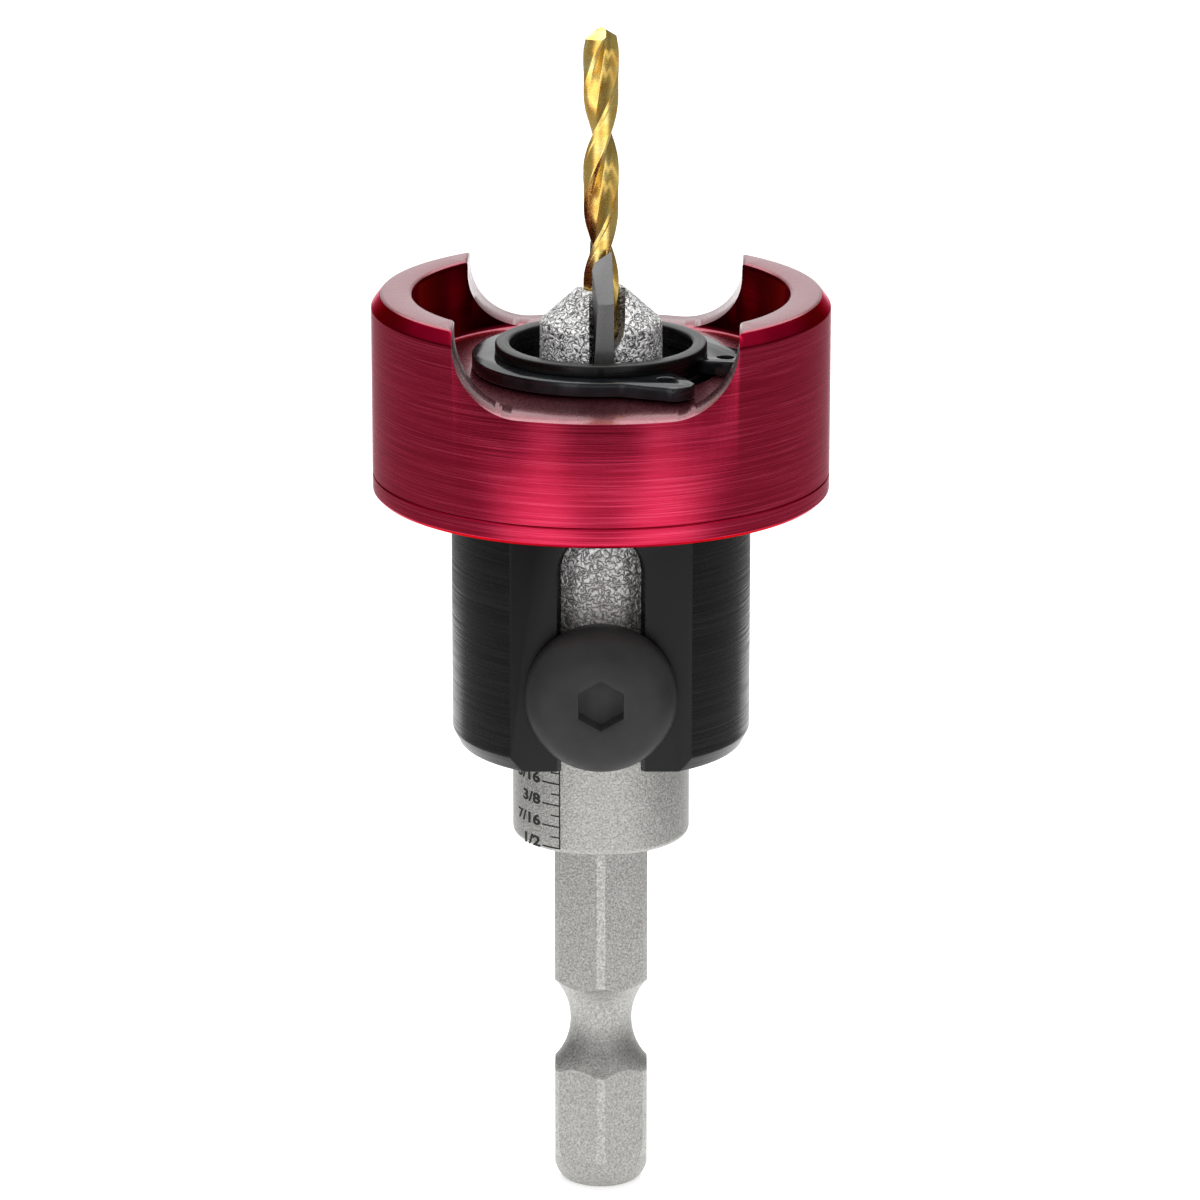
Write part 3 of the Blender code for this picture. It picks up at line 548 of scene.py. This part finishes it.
# Stop collar
def make_collar():
    """The cup with its bearing pocket and its two chip windows."""
    hole = TUBE_RADIUS + 0.8 * MM
    ceiling = RACE_TOP + 0.02 * MM
    relief = RACE_OUTSIDE - 1.12 * MM
    relief_top = ceiling + 0.3 * MM
    skirt_chamfer = 0.25 * MM
    pocket_chamfer = 0.43 * MM
    rim_chamfer = 0.67 * MM
    outline = rounded(
        [
            (POCKET_RADIUS + pocket_chamfer, COLLAR_BOTTOM), (COLLAR_RADIUS - skirt_chamfer, COLLAR_BOTTOM),
            (COLLAR_RADIUS, COLLAR_BOTTOM + skirt_chamfer),
            (COLLAR_RADIUS, GROOVE_LINE - GROOVE_DEPTH), (COLLAR_RADIUS - GROOVE_DEPTH, GROOVE_LINE),
            (COLLAR_RADIUS, GROOVE_LINE + GROOVE_DEPTH), (COLLAR_RADIUS, CHAMFER_START),
            (COLLAR_RADIUS - rim_chamfer, COLLAR_RIM), (COLLAR_INSIDE, COLLAR_RIM),
            (COLLAR_INSIDE, COLLAR_FLOOR), (hole, COLLAR_FLOOR), (hole, relief_top),
            (relief, relief_top), (relief, ceiling), (POCKET_RADIUS, ceiling),
            (POCKET_RADIUS, COLLAR_BOTTOM + pocket_chamfer),
        ],
        [0.05 * MM, 0.08 * MM, 0.15 * MM, 0, 0, 0, 0.35 * MM, 0.40 * MM, 0.35 * MM, 0.45 * MM, 0.08 * MM,
         0, 0, 0, 0, 0],
    )
    collar = turned("collar", outline, 256)
    through = 20 * MM
    corner_x = WINDOW_HALF - WINDOW_CORNER
    side = arc(corner_x, COLLAR_FLOOR + WINDOW_CORNER + 0.01 * MM, WINDOW_CORNER, -90, 0, 24)
    side += arc(WINDOW_REACH, COLLAR_RIM - WINDOW_TIP, WINDOW_TIP, 180, 90, 8)
    side.append((WINDOW_REACH, COLLAR_RIM + 2 * MM))
    window = side + [(-x, z) for x, z in reversed(side)]
    cut(collar, aimed(crosswise("windows", window, -through, through), "Z", WINDOW_AZIMUTH))
    edged(collar, 0.06 * MM, 50)
    stand_for(collar, "collar_skin", "stop_collar", brushed_red(), "collar", 32)
    collar.data.materials.append(polished_red("polished_red", 0.34))
    collar.data.materials.append(milled_red())
    # A much darker copy of the polished red for the cup's inner wall and the faces under it: painted shade
    # inside the cup.
    collar.data.materials.append(polished_red("turned_red_inside_painted_shade", 0.11))
    brushed, chamfer, milled, inside = range(4)
    for face in collar.data.polygons:
        reach = math.hypot(face.center.x, face.center.y)
        above_floor = face.center.z > COLLAR_FLOOR - 0.02 * MM
        upward = above_floor and face.normal.z > 0.75
        in_wall = above_floor and COLLAR_INSIDE < reach
        if reach > COLLAR_RADIUS - 0.02 * MM and face.center.z < CHAMFER_START - 0.05 * MM:
            face.material_index = brushed
        elif upward or in_wall and across_wall(face):
            face.material_index = milled
        elif reach > COLLAR_INSIDE + 0.5 * MM:
            face.material_index = chamfer
        else:
            face.material_index = inside
    return collar


def across_wall(face):
    """Whether a face of the collar was cut by the window's tool, which ran along Y."""
    turn = Matrix.Rotation(math.radians(-WINDOW_AZIMUTH), 3, "Z")
    beside = abs((turn @ face.center).x) < WINDOW_REACH + 0.1 * MM
    along = abs((turn @ face.normal).y) < 0.02
    return beside and along and face.center.z < COLLAR_RIM - 0.005 * MM


# Stop sleeve
def make_sleeve(material):
    """The barrel and the tube, with the circlip's groove, the front flat and the open slot."""
    groove_bottom = CLIP_BOTTOM - 0.04 * MM
    groove_top = CLIP_TOP + 0.04 * MM
    groove = CLIP_BORE - 0.02 * MM
    barrel_top = SLEEVE_BOTTOM + 18.15 * MM
    shoulder_top = RACE_BOTTOM - 0.02 * MM
    chamfer_width, chamfer_height = 0.48 * MM, 0.95 * MM
    outline = rounded(
        [
            (SLEEVE_BORE, SLEEVE_BOTTOM), (BARREL_RADIUS - chamfer_width, SLEEVE_BOTTOM),
            (BARREL_RADIUS, SLEEVE_BOTTOM + chamfer_height), (BARREL_RADIUS, barrel_top),
            (SHOULDER_RADIUS, barrel_top), (SHOULDER_RADIUS, shoulder_top), (SEAT_RADIUS, shoulder_top),
            (SEAT_RADIUS, RACE_TOP), (TUBE_RADIUS, RACE_TOP), (TUBE_RADIUS, groove_bottom),
            (groove, groove_bottom), (groove, groove_top), (TUBE_RADIUS, groove_top),
            (TUBE_RADIUS, TUBE_TOP), (SLEEVE_BORE, TUBE_TOP),
        ],
        [0.25 * MM, 0.10 * MM, 0.30 * MM, 0.20 * MM, 0, 0, 0, 0.08 * MM, 0, 0, 0, 0, 0,
         0.18 * MM, 0.22 * MM],
    )
    sleeve = turned("sleeve", outline, 192)
    wide = BARREL_RADIUS + 2 * MM
    low = SLEEVE_BOTTOM - 2 * MM
    high = barrel_top + 0.6 * MM
    flat = [(-wide, low), (wide, low), (wide, high), (-wide, high)]
    cut(sleeve, crosswise("flat", flat, -wide, -FLAT_DISTANCE))
    slot = arc(0, SLOT_ARC, SLOT_HALF, 0, 180, 48) + [(-SLOT_HALF, low), (SLOT_HALF, low)]
    cut(sleeve, crosswise("slot", slot, -wide, -SLEEVE_BORE * 0.75))
    flared = SLOT_HALF + 0.48 * MM
    near = arc(0, SLOT_ARC, flared, 0, 180, 48) + [(-flared, low), (flared, low)]
    outside = [(x, -FLAT_DISTANCE - 0.18 * MM, z) for x, z in near]
    inside = [(x * 0.99, -FLAT_DISTANCE + 0.3 * MM, z) for x, z in slot]
    cut(sleeve, extruded("slot_bevel", outside, inside))
    edged(sleeve, 0.05 * MM, 40)
    stand_for(sleeve, "sleeve_skin", "stop_sleeve", material, "sleeve")
    sleeve.data.materials.append(matt_black("black_oxide_milled_flat", 0.002, 0.40))
    for face in sleeve.data.polygons:
        if face.normal.y < -0.999 and face.center.y < -SLEEVE_BORE:
            face.material_index = 1
    return sleeve


# Circlip
def make_circlip(material):
    """An open ring, widest at the back, with a holed lug at each end; angles are from the gap."""
    height = CLIP_TOP - CLIP_BOTTOM
    waist = CLIP_BORE + 1.7 * MM
    tip = CLIP_BORE + 4.2 * MM
    lug = [(waist, 50), (waist + 0.08 * MM, 47), (waist + 0.3 * MM, 44.5), (waist + 0.75 * MM, 40.5),
           (waist + 1.3 * MM, 36.5), (tip - 0.6 * MM, 32.2), (tip - 0.12 * MM, 30.4), (tip, 28.6),
           (tip - 0.05 * MM, 23), (tip - 0.5 * MM, 19.5), (CLIP_BORE + 2.3 * MM, 17.3),
           (CLIP_BORE + 0.8 * MM, 16)]
    gap = lug[-1][1]
    back = []
    for i in range(1, 96):
        swell = 0.2 * MM * math.sin(math.pi * i / 96)
        back.append((waist + swell, lug[0][1] + (360 - 2 * lug[0][1]) * i / 96))
    outer = list(reversed(lug)) + back + [(radius, 360 - angle) for radius, angle in lug]
    inner = [(CLIP_BORE, 360 - gap - (360 - 2 * gap) * i / 192) for i in range(193)]
    clip = upright("circlip_skin", [polar(radius, angle) for radius, angle in outer + inner], 0, height)
    for angle in (-25.6, 25.6):
        x, y = polar(CLIP_BORE + 1.65 * MM, angle)
        hole = arc(x, y, 0.55 * MM, 0, 360 * 39 / 40, 39)
        cut(clip, upright("lug_hole", hole, -2 * MM, height + 2 * MM))
    edged(clip, 0.10 * MM, 40, 3)
    aimed(clip, "Z", CLIP_AZIMUTH, CLIP_BOTTOM)
    stand_for(clip, "circlip_skin", "circlip", material, "sleeve", 40)
    return clip


# Cutter body
def make_cutter_body(material):
    outline = rounded(
        [
            (0, SHANK_TOP), (BODY_RADIUS, SHANK_TOP), (BODY_RADIUS, BODY_TOP),
            (HEAD_RADIUS, BODY_TOP + 1.9 * MM), (HEAD_RADIUS, CONE_BASE),
            (BORE_RADIUS + 0.35 * MM, HEAD_TOP), (0, HEAD_TOP),
        ],
        [0, 0.45 * MM, 0.25 * MM, 0.6 * MM, 0.6 * MM, 0.08 * MM, 0],
        6,
    )
    body = turned("body", outline, 160, 0.3)
    combine(body, hex_shank(), "UNION")
    bore = [polar(BORE_RADIUS, 7.5 * i) for i in range(48)]
    cut(body, upright("bore", bore, BORE_END, HEAD_TOP + 2 * MM))
    for side in (0, 180):
        cut(body, aimed(blade_slot(), "Z", side))
        cut(body, aimed(gullet(), "Z", side))
    cut(body, aimed(cross_hole("clamp_hole", 2.5 * MM, 1.85 * MM), "X", 90, CLAMP_HEIGHT))
    for node in ("drill_grub_screw_lower", "drill_grub_screw_upper"):
        low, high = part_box(node)
        cut(body, aimed(cross_hole("grub_hole", 2.0 * MM, 0), "X", -90, (low.z + high.z) / 2))
    edged(body, 0.06 * MM, 35)
    stand_for(body, "cutter_body_skin", "cutter_body", material, "cutter", 24)
    # A paler copy of the steel on the rounded hex corners: a painted highlight along them.
    body.data.materials.append(blasted_steel("shank_corners_painted_highlight", 0.50))
    for face in body.data.polygons:
        reach = math.hypot(face.center.x, face.center.y)
        if reach > SHANK_CORNER_RADIUS - 0.08 * MM and SHANK_END < face.center.z < SHANK_TOP - 0.1 * MM:
            face.material_index = 1
    return body


def cross_hole(name, radius, start):
    """A round tool that reaches from near the axis out of the body."""
    end = 8 * MM
    return turned(name, [(0, start), (radius, start), (radius, end), (0, end)], 64)


def hex_shank():
    """A hexagonal bar inside a turned shape with a rounded end and a ball groove."""
    end_radius = 2.4 * MM
    end_length = 3.3 * MM
    groove_radius = 2.116 * MM
    groove_height = 11.6 * MM
    groove_half = 3.3 * MM
    depth = SHANK_CORNER_RADIUS - groove_radius
    radius = (groove_half ** 2 + depth ** 2) / (2 * depth)
    sweep = math.degrees(math.asin(groove_half / radius))
    outline = [(0, 0)]
    for step in range(13):
        t = math.radians(7.5 * step)
        swell = (SHANK_CORNER_RADIUS - end_radius) * math.sin(t)
        outline.append((end_radius + swell, end_length * (1 - math.cos(t))))
    outline += arc(groove_radius + radius, groove_height, radius, 180 + sweep, 180 - sweep, 40)
    buried = SHANK_TOP + 0.9 * MM
    outline += [(SHANK_CORNER_RADIUS, buried), (0, buried)]
    shank = turned("shank", outline, 160, 0.5)
    bar = [polar(HEX_FLATS / math.sqrt(3), 30 + 60 * i) for i in range(6)]
    return combine(shank, upright("bar", bar, -2 * MM, buried + 2 * MM), "INTERSECT")


def blade_slot():
    left, right = -0.79 * MM, 0.89 * MM
    floor, top = 58.3 * MM, HEAD_TOP + 2 * MM
    outline = [(left, floor), (right, floor), (right, top), (left, top)]
    return crosswise("slot", outline, -HEAD_RADIUS - 2 * MM, -BORE_RADIUS - 0.3 * MM)


def gullet():
    """The chip groove beside a blade; its lower end runs out in an arc."""
    left, right, radius = 0.18 * MM, 1.61 * MM, 3.3 * MM
    top = HEAD_TOP + 2 * MM
    runout = arc(right - radius, CONE_BASE + 0.85 * MM, radius, -42, 0, 24)
    outline = runout + [(right, top), (left, top), (left, runout[0][1])]
    return crosswise("gullet", outline, -HEAD_RADIUS - 2 * MM, -0.1 * MM)


# Carbide blades
def make_blade(name, node, side, material):
    """An upright blade whose top rises from its outer corner, at the kink, to a peak beside the drill."""
    left, right = -0.51 * MM, 0.87 * MM
    inner = BORE_RADIUS + 0.32 * MM
    outer = HEAD_RADIUS + 0.35 * MM
    bottom = BLADE_BOTTOM
    peak = BLADE_TOP
    kink = peak - BLADE_RISE
    foot = [(right, outer), (right, inner + 0.2 * MM), (left + 0.2 * MM, inner + 0.2 * MM),
            (left, inner + 0.4 * MM), (left, outer - 0.1 * MM)]
    land = [(right, outer, kink), (right - 0.15 * MM, inner + 0.05 * MM, peak),
            (left + 0.1 * MM, inner + 0.5 * MM, peak - 0.65 * MM),
            (left - 0.1 * MM, inner + 0.9 * MM, peak - 1.1 * MM),
            (left + 0.3 * MM, outer - 0.05 * MM, kink - 0.1 * MM)]
    blade = extruded(name, [(x, -y, bottom) for x, y in foot], [(x, -y, z) for x, y, z in land])
    edged(blade, 0.03 * MM, 20)
    stand_for(aimed(blade, "Z", side), name, node, material, "cutter", 20)
    return blade


# Twist drill
def flute_radius(angle):
    """Radius of the section at an angle in degrees: twice a margin, a land, a heel, a flute and a lip."""
    angle %= 180
    margin, land, heel, lip = 14, 62, 76, 166
    land_radius, heel_radius = DRILL_RADIUS * 0.975, DRILL_RADIUS * 0.755
    web = 0.3 * MM
    if angle < margin:
        return DRILL_RADIUS
    if angle < land:
        return land_radius
    if angle < heel:
        return land_radius - (land_radius - heel_radius) * (angle - land) / (heel - land)
    if angle < lip:
        t = (angle - heel) / (lip - heel)
        hollow = (1 - math.sin(math.pi * t) ** 0.6) * (1 - 0.35 * t)
        return web + (heel_radius - web) * hollow
    return web + (DRILL_RADIUS - web) * (0.42 + 0.58 * (angle - lip) / (180 - lip))


def make_drill(material):
    """The fluted length is built row by row up its helix and closed with a 118 degree point."""
    points, rows = 120, 180
    slope = 1 / math.tan(math.radians(118 / 2))
    base_chamfer = 0.25 * MM
    run_in = 3 * MM
    flute_length = 30 * MM
    flutes_end = DRILL_TIP - DRILL_RADIUS * slope - DRILL_RADIUS * 0.6
    flutes_start = flutes_end - flute_length
    bm = bmesh.new()

    def ring(height, share, cap=None, inset=0.0):
        verts = []
        for i in range(points):
            angle = 360 * i / points
            radius = DRILL_RADIUS - inset + (flute_radius(angle) - DRILL_RADIUS) * share
            z = cap - radius * slope if cap else height
            turn = FLUTE_PHASE + 360 * (z - flutes_start) / FLUTE_LEAD
            verts.append(bm.verts.new((*polar(radius, angle + turn), z)))
        return verts

    rings = [ring(DRILL_BASE, 0, inset=base_chamfer), ring(DRILL_BASE + base_chamfer, 0)]
    for row in range(rows + 1):
        height = flutes_start + (flutes_end - flutes_start) * row / rows
        rings.append(ring(height, min((height - flutes_start) / run_in, 1)))
    rings.append(ring(0, 1, cap=DRILL_TIP))
    for below, above in zip(rings, rings[1:]):
        for i in range(points):
            j = (i + 1) % points
            bm.faces.new((below[i], below[j], above[j], above[i]))
    tip = bm.verts.new((0, 0, DRILL_TIP))
    for i in range(points):
        bm.faces.new((rings[-1][i], rings[-1][(i + 1) % points], tip))
    bm.faces.new(list(reversed(rings[0])))
    drill = to_object("drill", bm)
    stand_for(drill, "drill_skin", "twist_drill", material, "cutter", 28)
    return drill


# Clamp screw
def make_clamp_screw(material):
    """A button head screw, turned about its own axis and then laid across the body."""
    seat = FLAT_DISTANCE + 0.02 * MM
    inner = 1.87 * MM
    thread = 2.48 * MM
    lead = 0.4 * MM
    crown = 2.2 * MM
    top = seat + 2.3 * MM
    socket_depth = 1.5 * MM
    dome = []
    for step in range(17):
        t = math.radians(76 * step / 16)
        dome.append((crown + (CLAMP_HEAD_RADIUS - crown) * math.cos(t),
                     seat + 0.45 * MM + 1.85 * MM * math.sin(t)))
    outline = [(0, inner), (thread - lead, inner), (thread, inner + lead), (thread, seat),
               (CLAMP_HEAD_RADIUS - 0.1 * MM, seat), (CLAMP_HEAD_RADIUS, seat + 0.1 * MM)]
    outline += dome + [(crown, top), (2.0 * MM, top), (0, top)]
    screw = turned("screw", outline, 128)
    socket_corner = 3 * MM / math.sqrt(3)
    socket = [polar(socket_corner, 90 + 60 * i) for i in range(6)]
    cut(screw, upright("socket", socket, top - socket_depth, top + 2 * MM))
    edged(screw, 0.05 * MM, 30)
    aimed(screw, "X", 90, CLAMP_HEIGHT)
    stand_for(screw, "clamp_screw_skin", "clamp_screw", material, "cutter")
    # The socket's inside is painted paler than the head: painted light against the shade in the recess.
    screw.data.materials.append(matt_black("black_oxide_socket_painted_light", 0.030, 0.5))
    for face in screw.data.polygons:
        in_socket = math.hypot(face.center.x, face.center.z - CLAMP_HEIGHT) < socket_corner
        if in_socket and -top + 0.02 * MM < face.center.y < -top + socket_depth + 0.1 * MM:
            face.material_index = 1
    return screw


# Depth scale on the body: sixteenths of an inch down from the zero mark, with angles from the front
SCALE_ZERO = 37.85 * MM
SIXTEENTH = 1.523 * MM
TICKS = 17
SCALE_LINE = -27.7
LONG_TICK_END = -41.3
SHORT_TICK_END = -34.3
LABEL_START = -43.1
LABEL_DROP = 0.17 * MM
DIGIT_HEIGHT = 0.70 * MM
DIGIT_WIDENING = 1.5
INK_WIDTH = 0.10 * MM
INK_LIFT = 0.012 * MM
INK_SPREAD = 0.034

# Height of a figure in the built-in font, for a text size of 1
FIGURE_HEIGHT = 0.70


def on_body(degrees, height):
    """A point just above the body's surface, at an angle from the front."""
    a = math.radians(degrees)
    radius = BODY_RADIUS + INK_LIFT
    return radius * math.sin(a), -radius * math.cos(a), height


def add_strip(bm, start, end, bottom, top):
    """A thin curved strip of ink between two angles and two heights."""
    steps = max(2, round(abs(end - start)))
    rows = [[bm.verts.new(on_body(start + (end - start) * i / steps, z)) for i in range(steps + 1)]
            for z in (bottom, top)]
    for i in range(steps):
        bm.faces.new((rows[0][i], rows[0][i + 1], rows[1][i + 1], rows[1][i]))


def add_label(bm, text, height):
    """Plain figures bent round the body, with their right end beside the tick."""
    curve = bpy.data.curves.new("figures", "FONT")
    curve.body = text
    curve.align_x = "RIGHT"
    curve.resolution_u = 5
    curve.offset = INK_SPREAD
    figures = bpy.data.objects.new("figures", curve)
    bpy.context.scene.collection.objects.link(figures)
    mesh = bpy.data.meshes.new_from_object(figures.evaluated_get(bpy.context.evaluated_depsgraph_get()))
    bpy.data.objects.remove(figures)
    size = DIGIT_HEIGHT / FIGURE_HEIGHT
    for vert in mesh.vertices:
        turn = math.degrees(vert.co.x * size * DIGIT_WIDENING / BODY_RADIUS)
        vert.co = on_body(LABEL_START + turn, height + vert.co.y * size)
    bm.from_mesh(mesh)
    bpy.data.meshes.remove(mesh)


def make_depth_scale(material):
    bm = bmesh.new()
    line_half = math.degrees(INK_WIDTH / 2 / BODY_RADIUS)
    add_strip(bm, SCALE_LINE - line_half, SCALE_LINE + line_half, SHANK_TOP + 0.33 * MM, SCALE_ZERO)
    for count in range(TICKS):
        height = SCALE_ZERO - count * SIXTEENTH / 2
        end = SHORT_TICK_END if count % 2 else LONG_TICK_END
        add_strip(bm, end, SCALE_LINE, height - INK_WIDTH / 2, height + INK_WIDTH / 2)
        if count % 2 == 0:
            share = math.gcd(count // 2, 16)
            text = f"{count // 2 // share}/{16 // share}" if count else "0"
            add_label(bm, text, height - LABEL_DROP)
    mesh = bpy.data.meshes.new("depth_scale")
    bm.to_mesh(mesh)
    bm.free()
    scale = bpy.data.objects.new("depth_scale", mesh)
    bpy.context.scene.collection.objects.link(scale)
    mesh.materials.append(material)
    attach(scale, "cutter")
    return scale


def repaint(material, *names):
    """Gives CAD nodes that stay in view their finish."""
    for name in names:
        nodes[name].data.materials.clear()
        nodes[name].data.materials.append(material)


# Build the pieces
oxide = black_oxide("black_oxide_turned", 0.28, 0.00004, 0.004)
matt_oxide = matt_black("black_oxide_matt", 0.022, 0.42)
carbide = ground_carbide()
steel = ground_steel("ground_bearing_steel", (0.62, 0.61, 0.60), 0.22)
pressed_steel = ground_steel("shield_steel_pressed", (0.16, 0.16, 0.16), 0.4)
make_collar()
make_sleeve(oxide)
make_circlip(gloss_black())
make_cutter_body(blasted_steel("blasted_steel_grain", 0.42))
make_blade("carbide_front_skin", "carbide_blade_front", 0, carbide)
make_blade("carbide_rear_skin", "carbide_blade_rear", 180, carbide)
make_drill(gold_coating())
make_clamp_screw(matt_oxide)
make_depth_scale(engraved_ink())
repaint(steel, "bearing_inner_race", "bearing_outer_race")
repaint(steel, *[name for name in nodes if name.startswith("bearing_ball")])
repaint(pressed_steel, "bearing_shield_lower", "bearing_shield_upper")
repaint(moulded_cage(), "bearing_cage")
repaint(matt_oxide, "drill_grub_screw_lower", "drill_grub_screw_upper")


# The floor's darker areas, as distances from the tool and angles in radians from the front
DARK_START = 60 * MM
DARK_FAR = 150 * MM
SIDE_START, SIDE_FULL, SIDE_END = 0.7, 1.0, 2.35
SIDE_FAR_EXTRA = 0.5
WEDGE_FULL, WEDGE_END = 0.12, 0.30
WEDGE_LENGTH = 300 * MM


def dark_areas(recipe):
    """Where the floor is dark for mirrors: both sides, and a wedge in front that the collar shows."""
    x, y, _ = recipe.split(recipe.place())
    azimuth = recipe.math("ARCTAN2", recipe.math("ABSOLUTE", x), recipe.math("MULTIPLY", y, -1.0))
    distance = recipe.reach(x, y)
    clear = recipe.math("GREATER_THAN", distance, DARK_START)
    far = recipe.math("GREATER_THAN", distance, DARK_FAR)
    rear = recipe.math("ADD", SIDE_END, recipe.math("MULTIPLY", far, SIDE_FAR_EXTRA))
    beside = recipe.ramp(azimuth, (SIDE_START, 0.0), (SIDE_FULL, 1.0))
    side = recipe.math("MULTIPLY", beside, recipe.math("LESS_THAN", azimuth, rear))
    ahead = recipe.ramp(azimuth, (WEDGE_FULL, 1.0), (WEDGE_END, 0.0))
    near = recipe.math("LESS_THAN", distance, WEDGE_LENGTH)
    wedge = recipe.math("MULTIPLY", ahead, recipe.math("MULTIPLY", far, near))
    return recipe.math("MULTIPLY", clear, recipe.math("MAXIMUM", side, wedge))


def make_floor():
    """A white floor that keeps the tool's soft shadow, with darker areas that only metal sees."""
    bm = bmesh.new()
    bmesh.ops.create_circle(bm, cap_ends=True, segments=64, radius=3.0)
    floor = to_object("floor", bm)
    recipe = Recipe("white_floor", (0.85, 0.85, 0.85), 0.0, 0.08).set(IOR=1.38)
    grain = recipe.noise(recipe.place(), 40.0, 3.0, 0.6)
    recipe.roughness(recipe.ramp(grain, (0.3, 0.05), (0.7, 0.12)))
    path = recipe.node("ShaderNodeLightPath")
    dark = recipe.math("MULTIPLY", path.outputs["Is Glossy Ray"], dark_areas(recipe))
    recipe.base(recipe.ramp(dark, (0.0, 0.85), (1.0, 0.30)))
    seen = recipe.math("MAXIMUM", path.outputs["Is Camera Ray"], path.outputs["Is Glossy Ray"])
    lit = recipe.math("MULTIPLY", seen, recipe.math("SUBTRACT", 1.0, dark))
    recipe.drive("Emission Strength", recipe.math("MULTIPLY", lit, 0.45))
    recipe.set(Emission_Color=(1, 1, 1, 1))
    floor.data.materials.append(recipe.material)


def make_world():
    """White behind the tool and overhead, grey towards the front and the sides."""
    world = bpy.data.worlds.new("studio")
    bpy.context.scene.world = world
    world.use_nodes = True
    graph = Graph(world.node_tree)
    back = graph.tree.nodes["Background"]
    back.inputs["Color"].default_value = (1, 1, 1, 1)
    x, y, z = graph.split(graph.node("ShaderNodeTexCoord").outputs["Generated"])
    behind = graph.math("SUBTRACT", y, graph.math("ABSOLUTE", x))
    strength = graph.span(graph.math("MAXIMUM", behind, z), 0.3, 0.95, 0.15, 1.0)
    path = graph.node("ShaderNodeLightPath")
    graph.link(graph.math("MAXIMUM", strength, path.outputs["Is Camera Ray"]), back.inputs["Strength"])


def make_softbox(name, azimuth, power, distance=0.52, height=0.17, width=0.16, tall=0.34):
    """A rectangular lamp that faces the collar; azimuth is counted from the front, in degrees."""
    lamp = bpy.data.lights.new(name, "AREA")
    lamp.shape = "RECTANGLE"
    lamp.size = width
    lamp.size_y = tall
    lamp.energy = power
    obj = bpy.data.objects.new(name, lamp)
    bpy.context.scene.collection.objects.link(obj)
    a = math.radians(azimuth)
    obj.location = (distance * math.sin(a), -distance * math.cos(a), height)
    aim = Vector((0, 0, COLLAR_BOTTOM)) - obj.location
    obj.rotation_euler = aim.to_track_quat("-Z", "Y").to_euler()
    return obj


def make_camera():
    """The view fitted to the photograph: from the front, 16 degrees above the tool's middle."""
    distance = 400.583 * MM
    elevation = math.radians(16.373)
    target = Vector((-0.068 * MM, 0, 41.654 * MM))
    camera = bpy.data.cameras.new("camera")
    camera.lens = 177.36
    camera.sensor_width = 36
    camera.clip_start = 0.01
    obj = bpy.data.objects.new("camera", camera)
    bpy.context.scene.collection.objects.link(obj)
    obj.location = target + distance * Vector((0, -math.cos(elevation), math.sin(elevation)))
    obj.rotation_euler = (math.pi / 2 - elevation, 0, 0)
    bpy.context.scene.camera = obj


make_floor()
make_world()
make_softbox("left_softbox", -27, 0.10)
make_softbox("right_softbox", 29, 0.12)
make_softbox("left_fill", -27, 1.0).visible_glossy = False
make_softbox("right_fill", 29, 1.1).visible_glossy = False
make_softbox("top_softbox", 180, 3.2, distance=0.25, height=0.55, width=0.9, tall=0.7)
make_camera()
bpy.context.scene.view_settings.view_transform = "Standard"
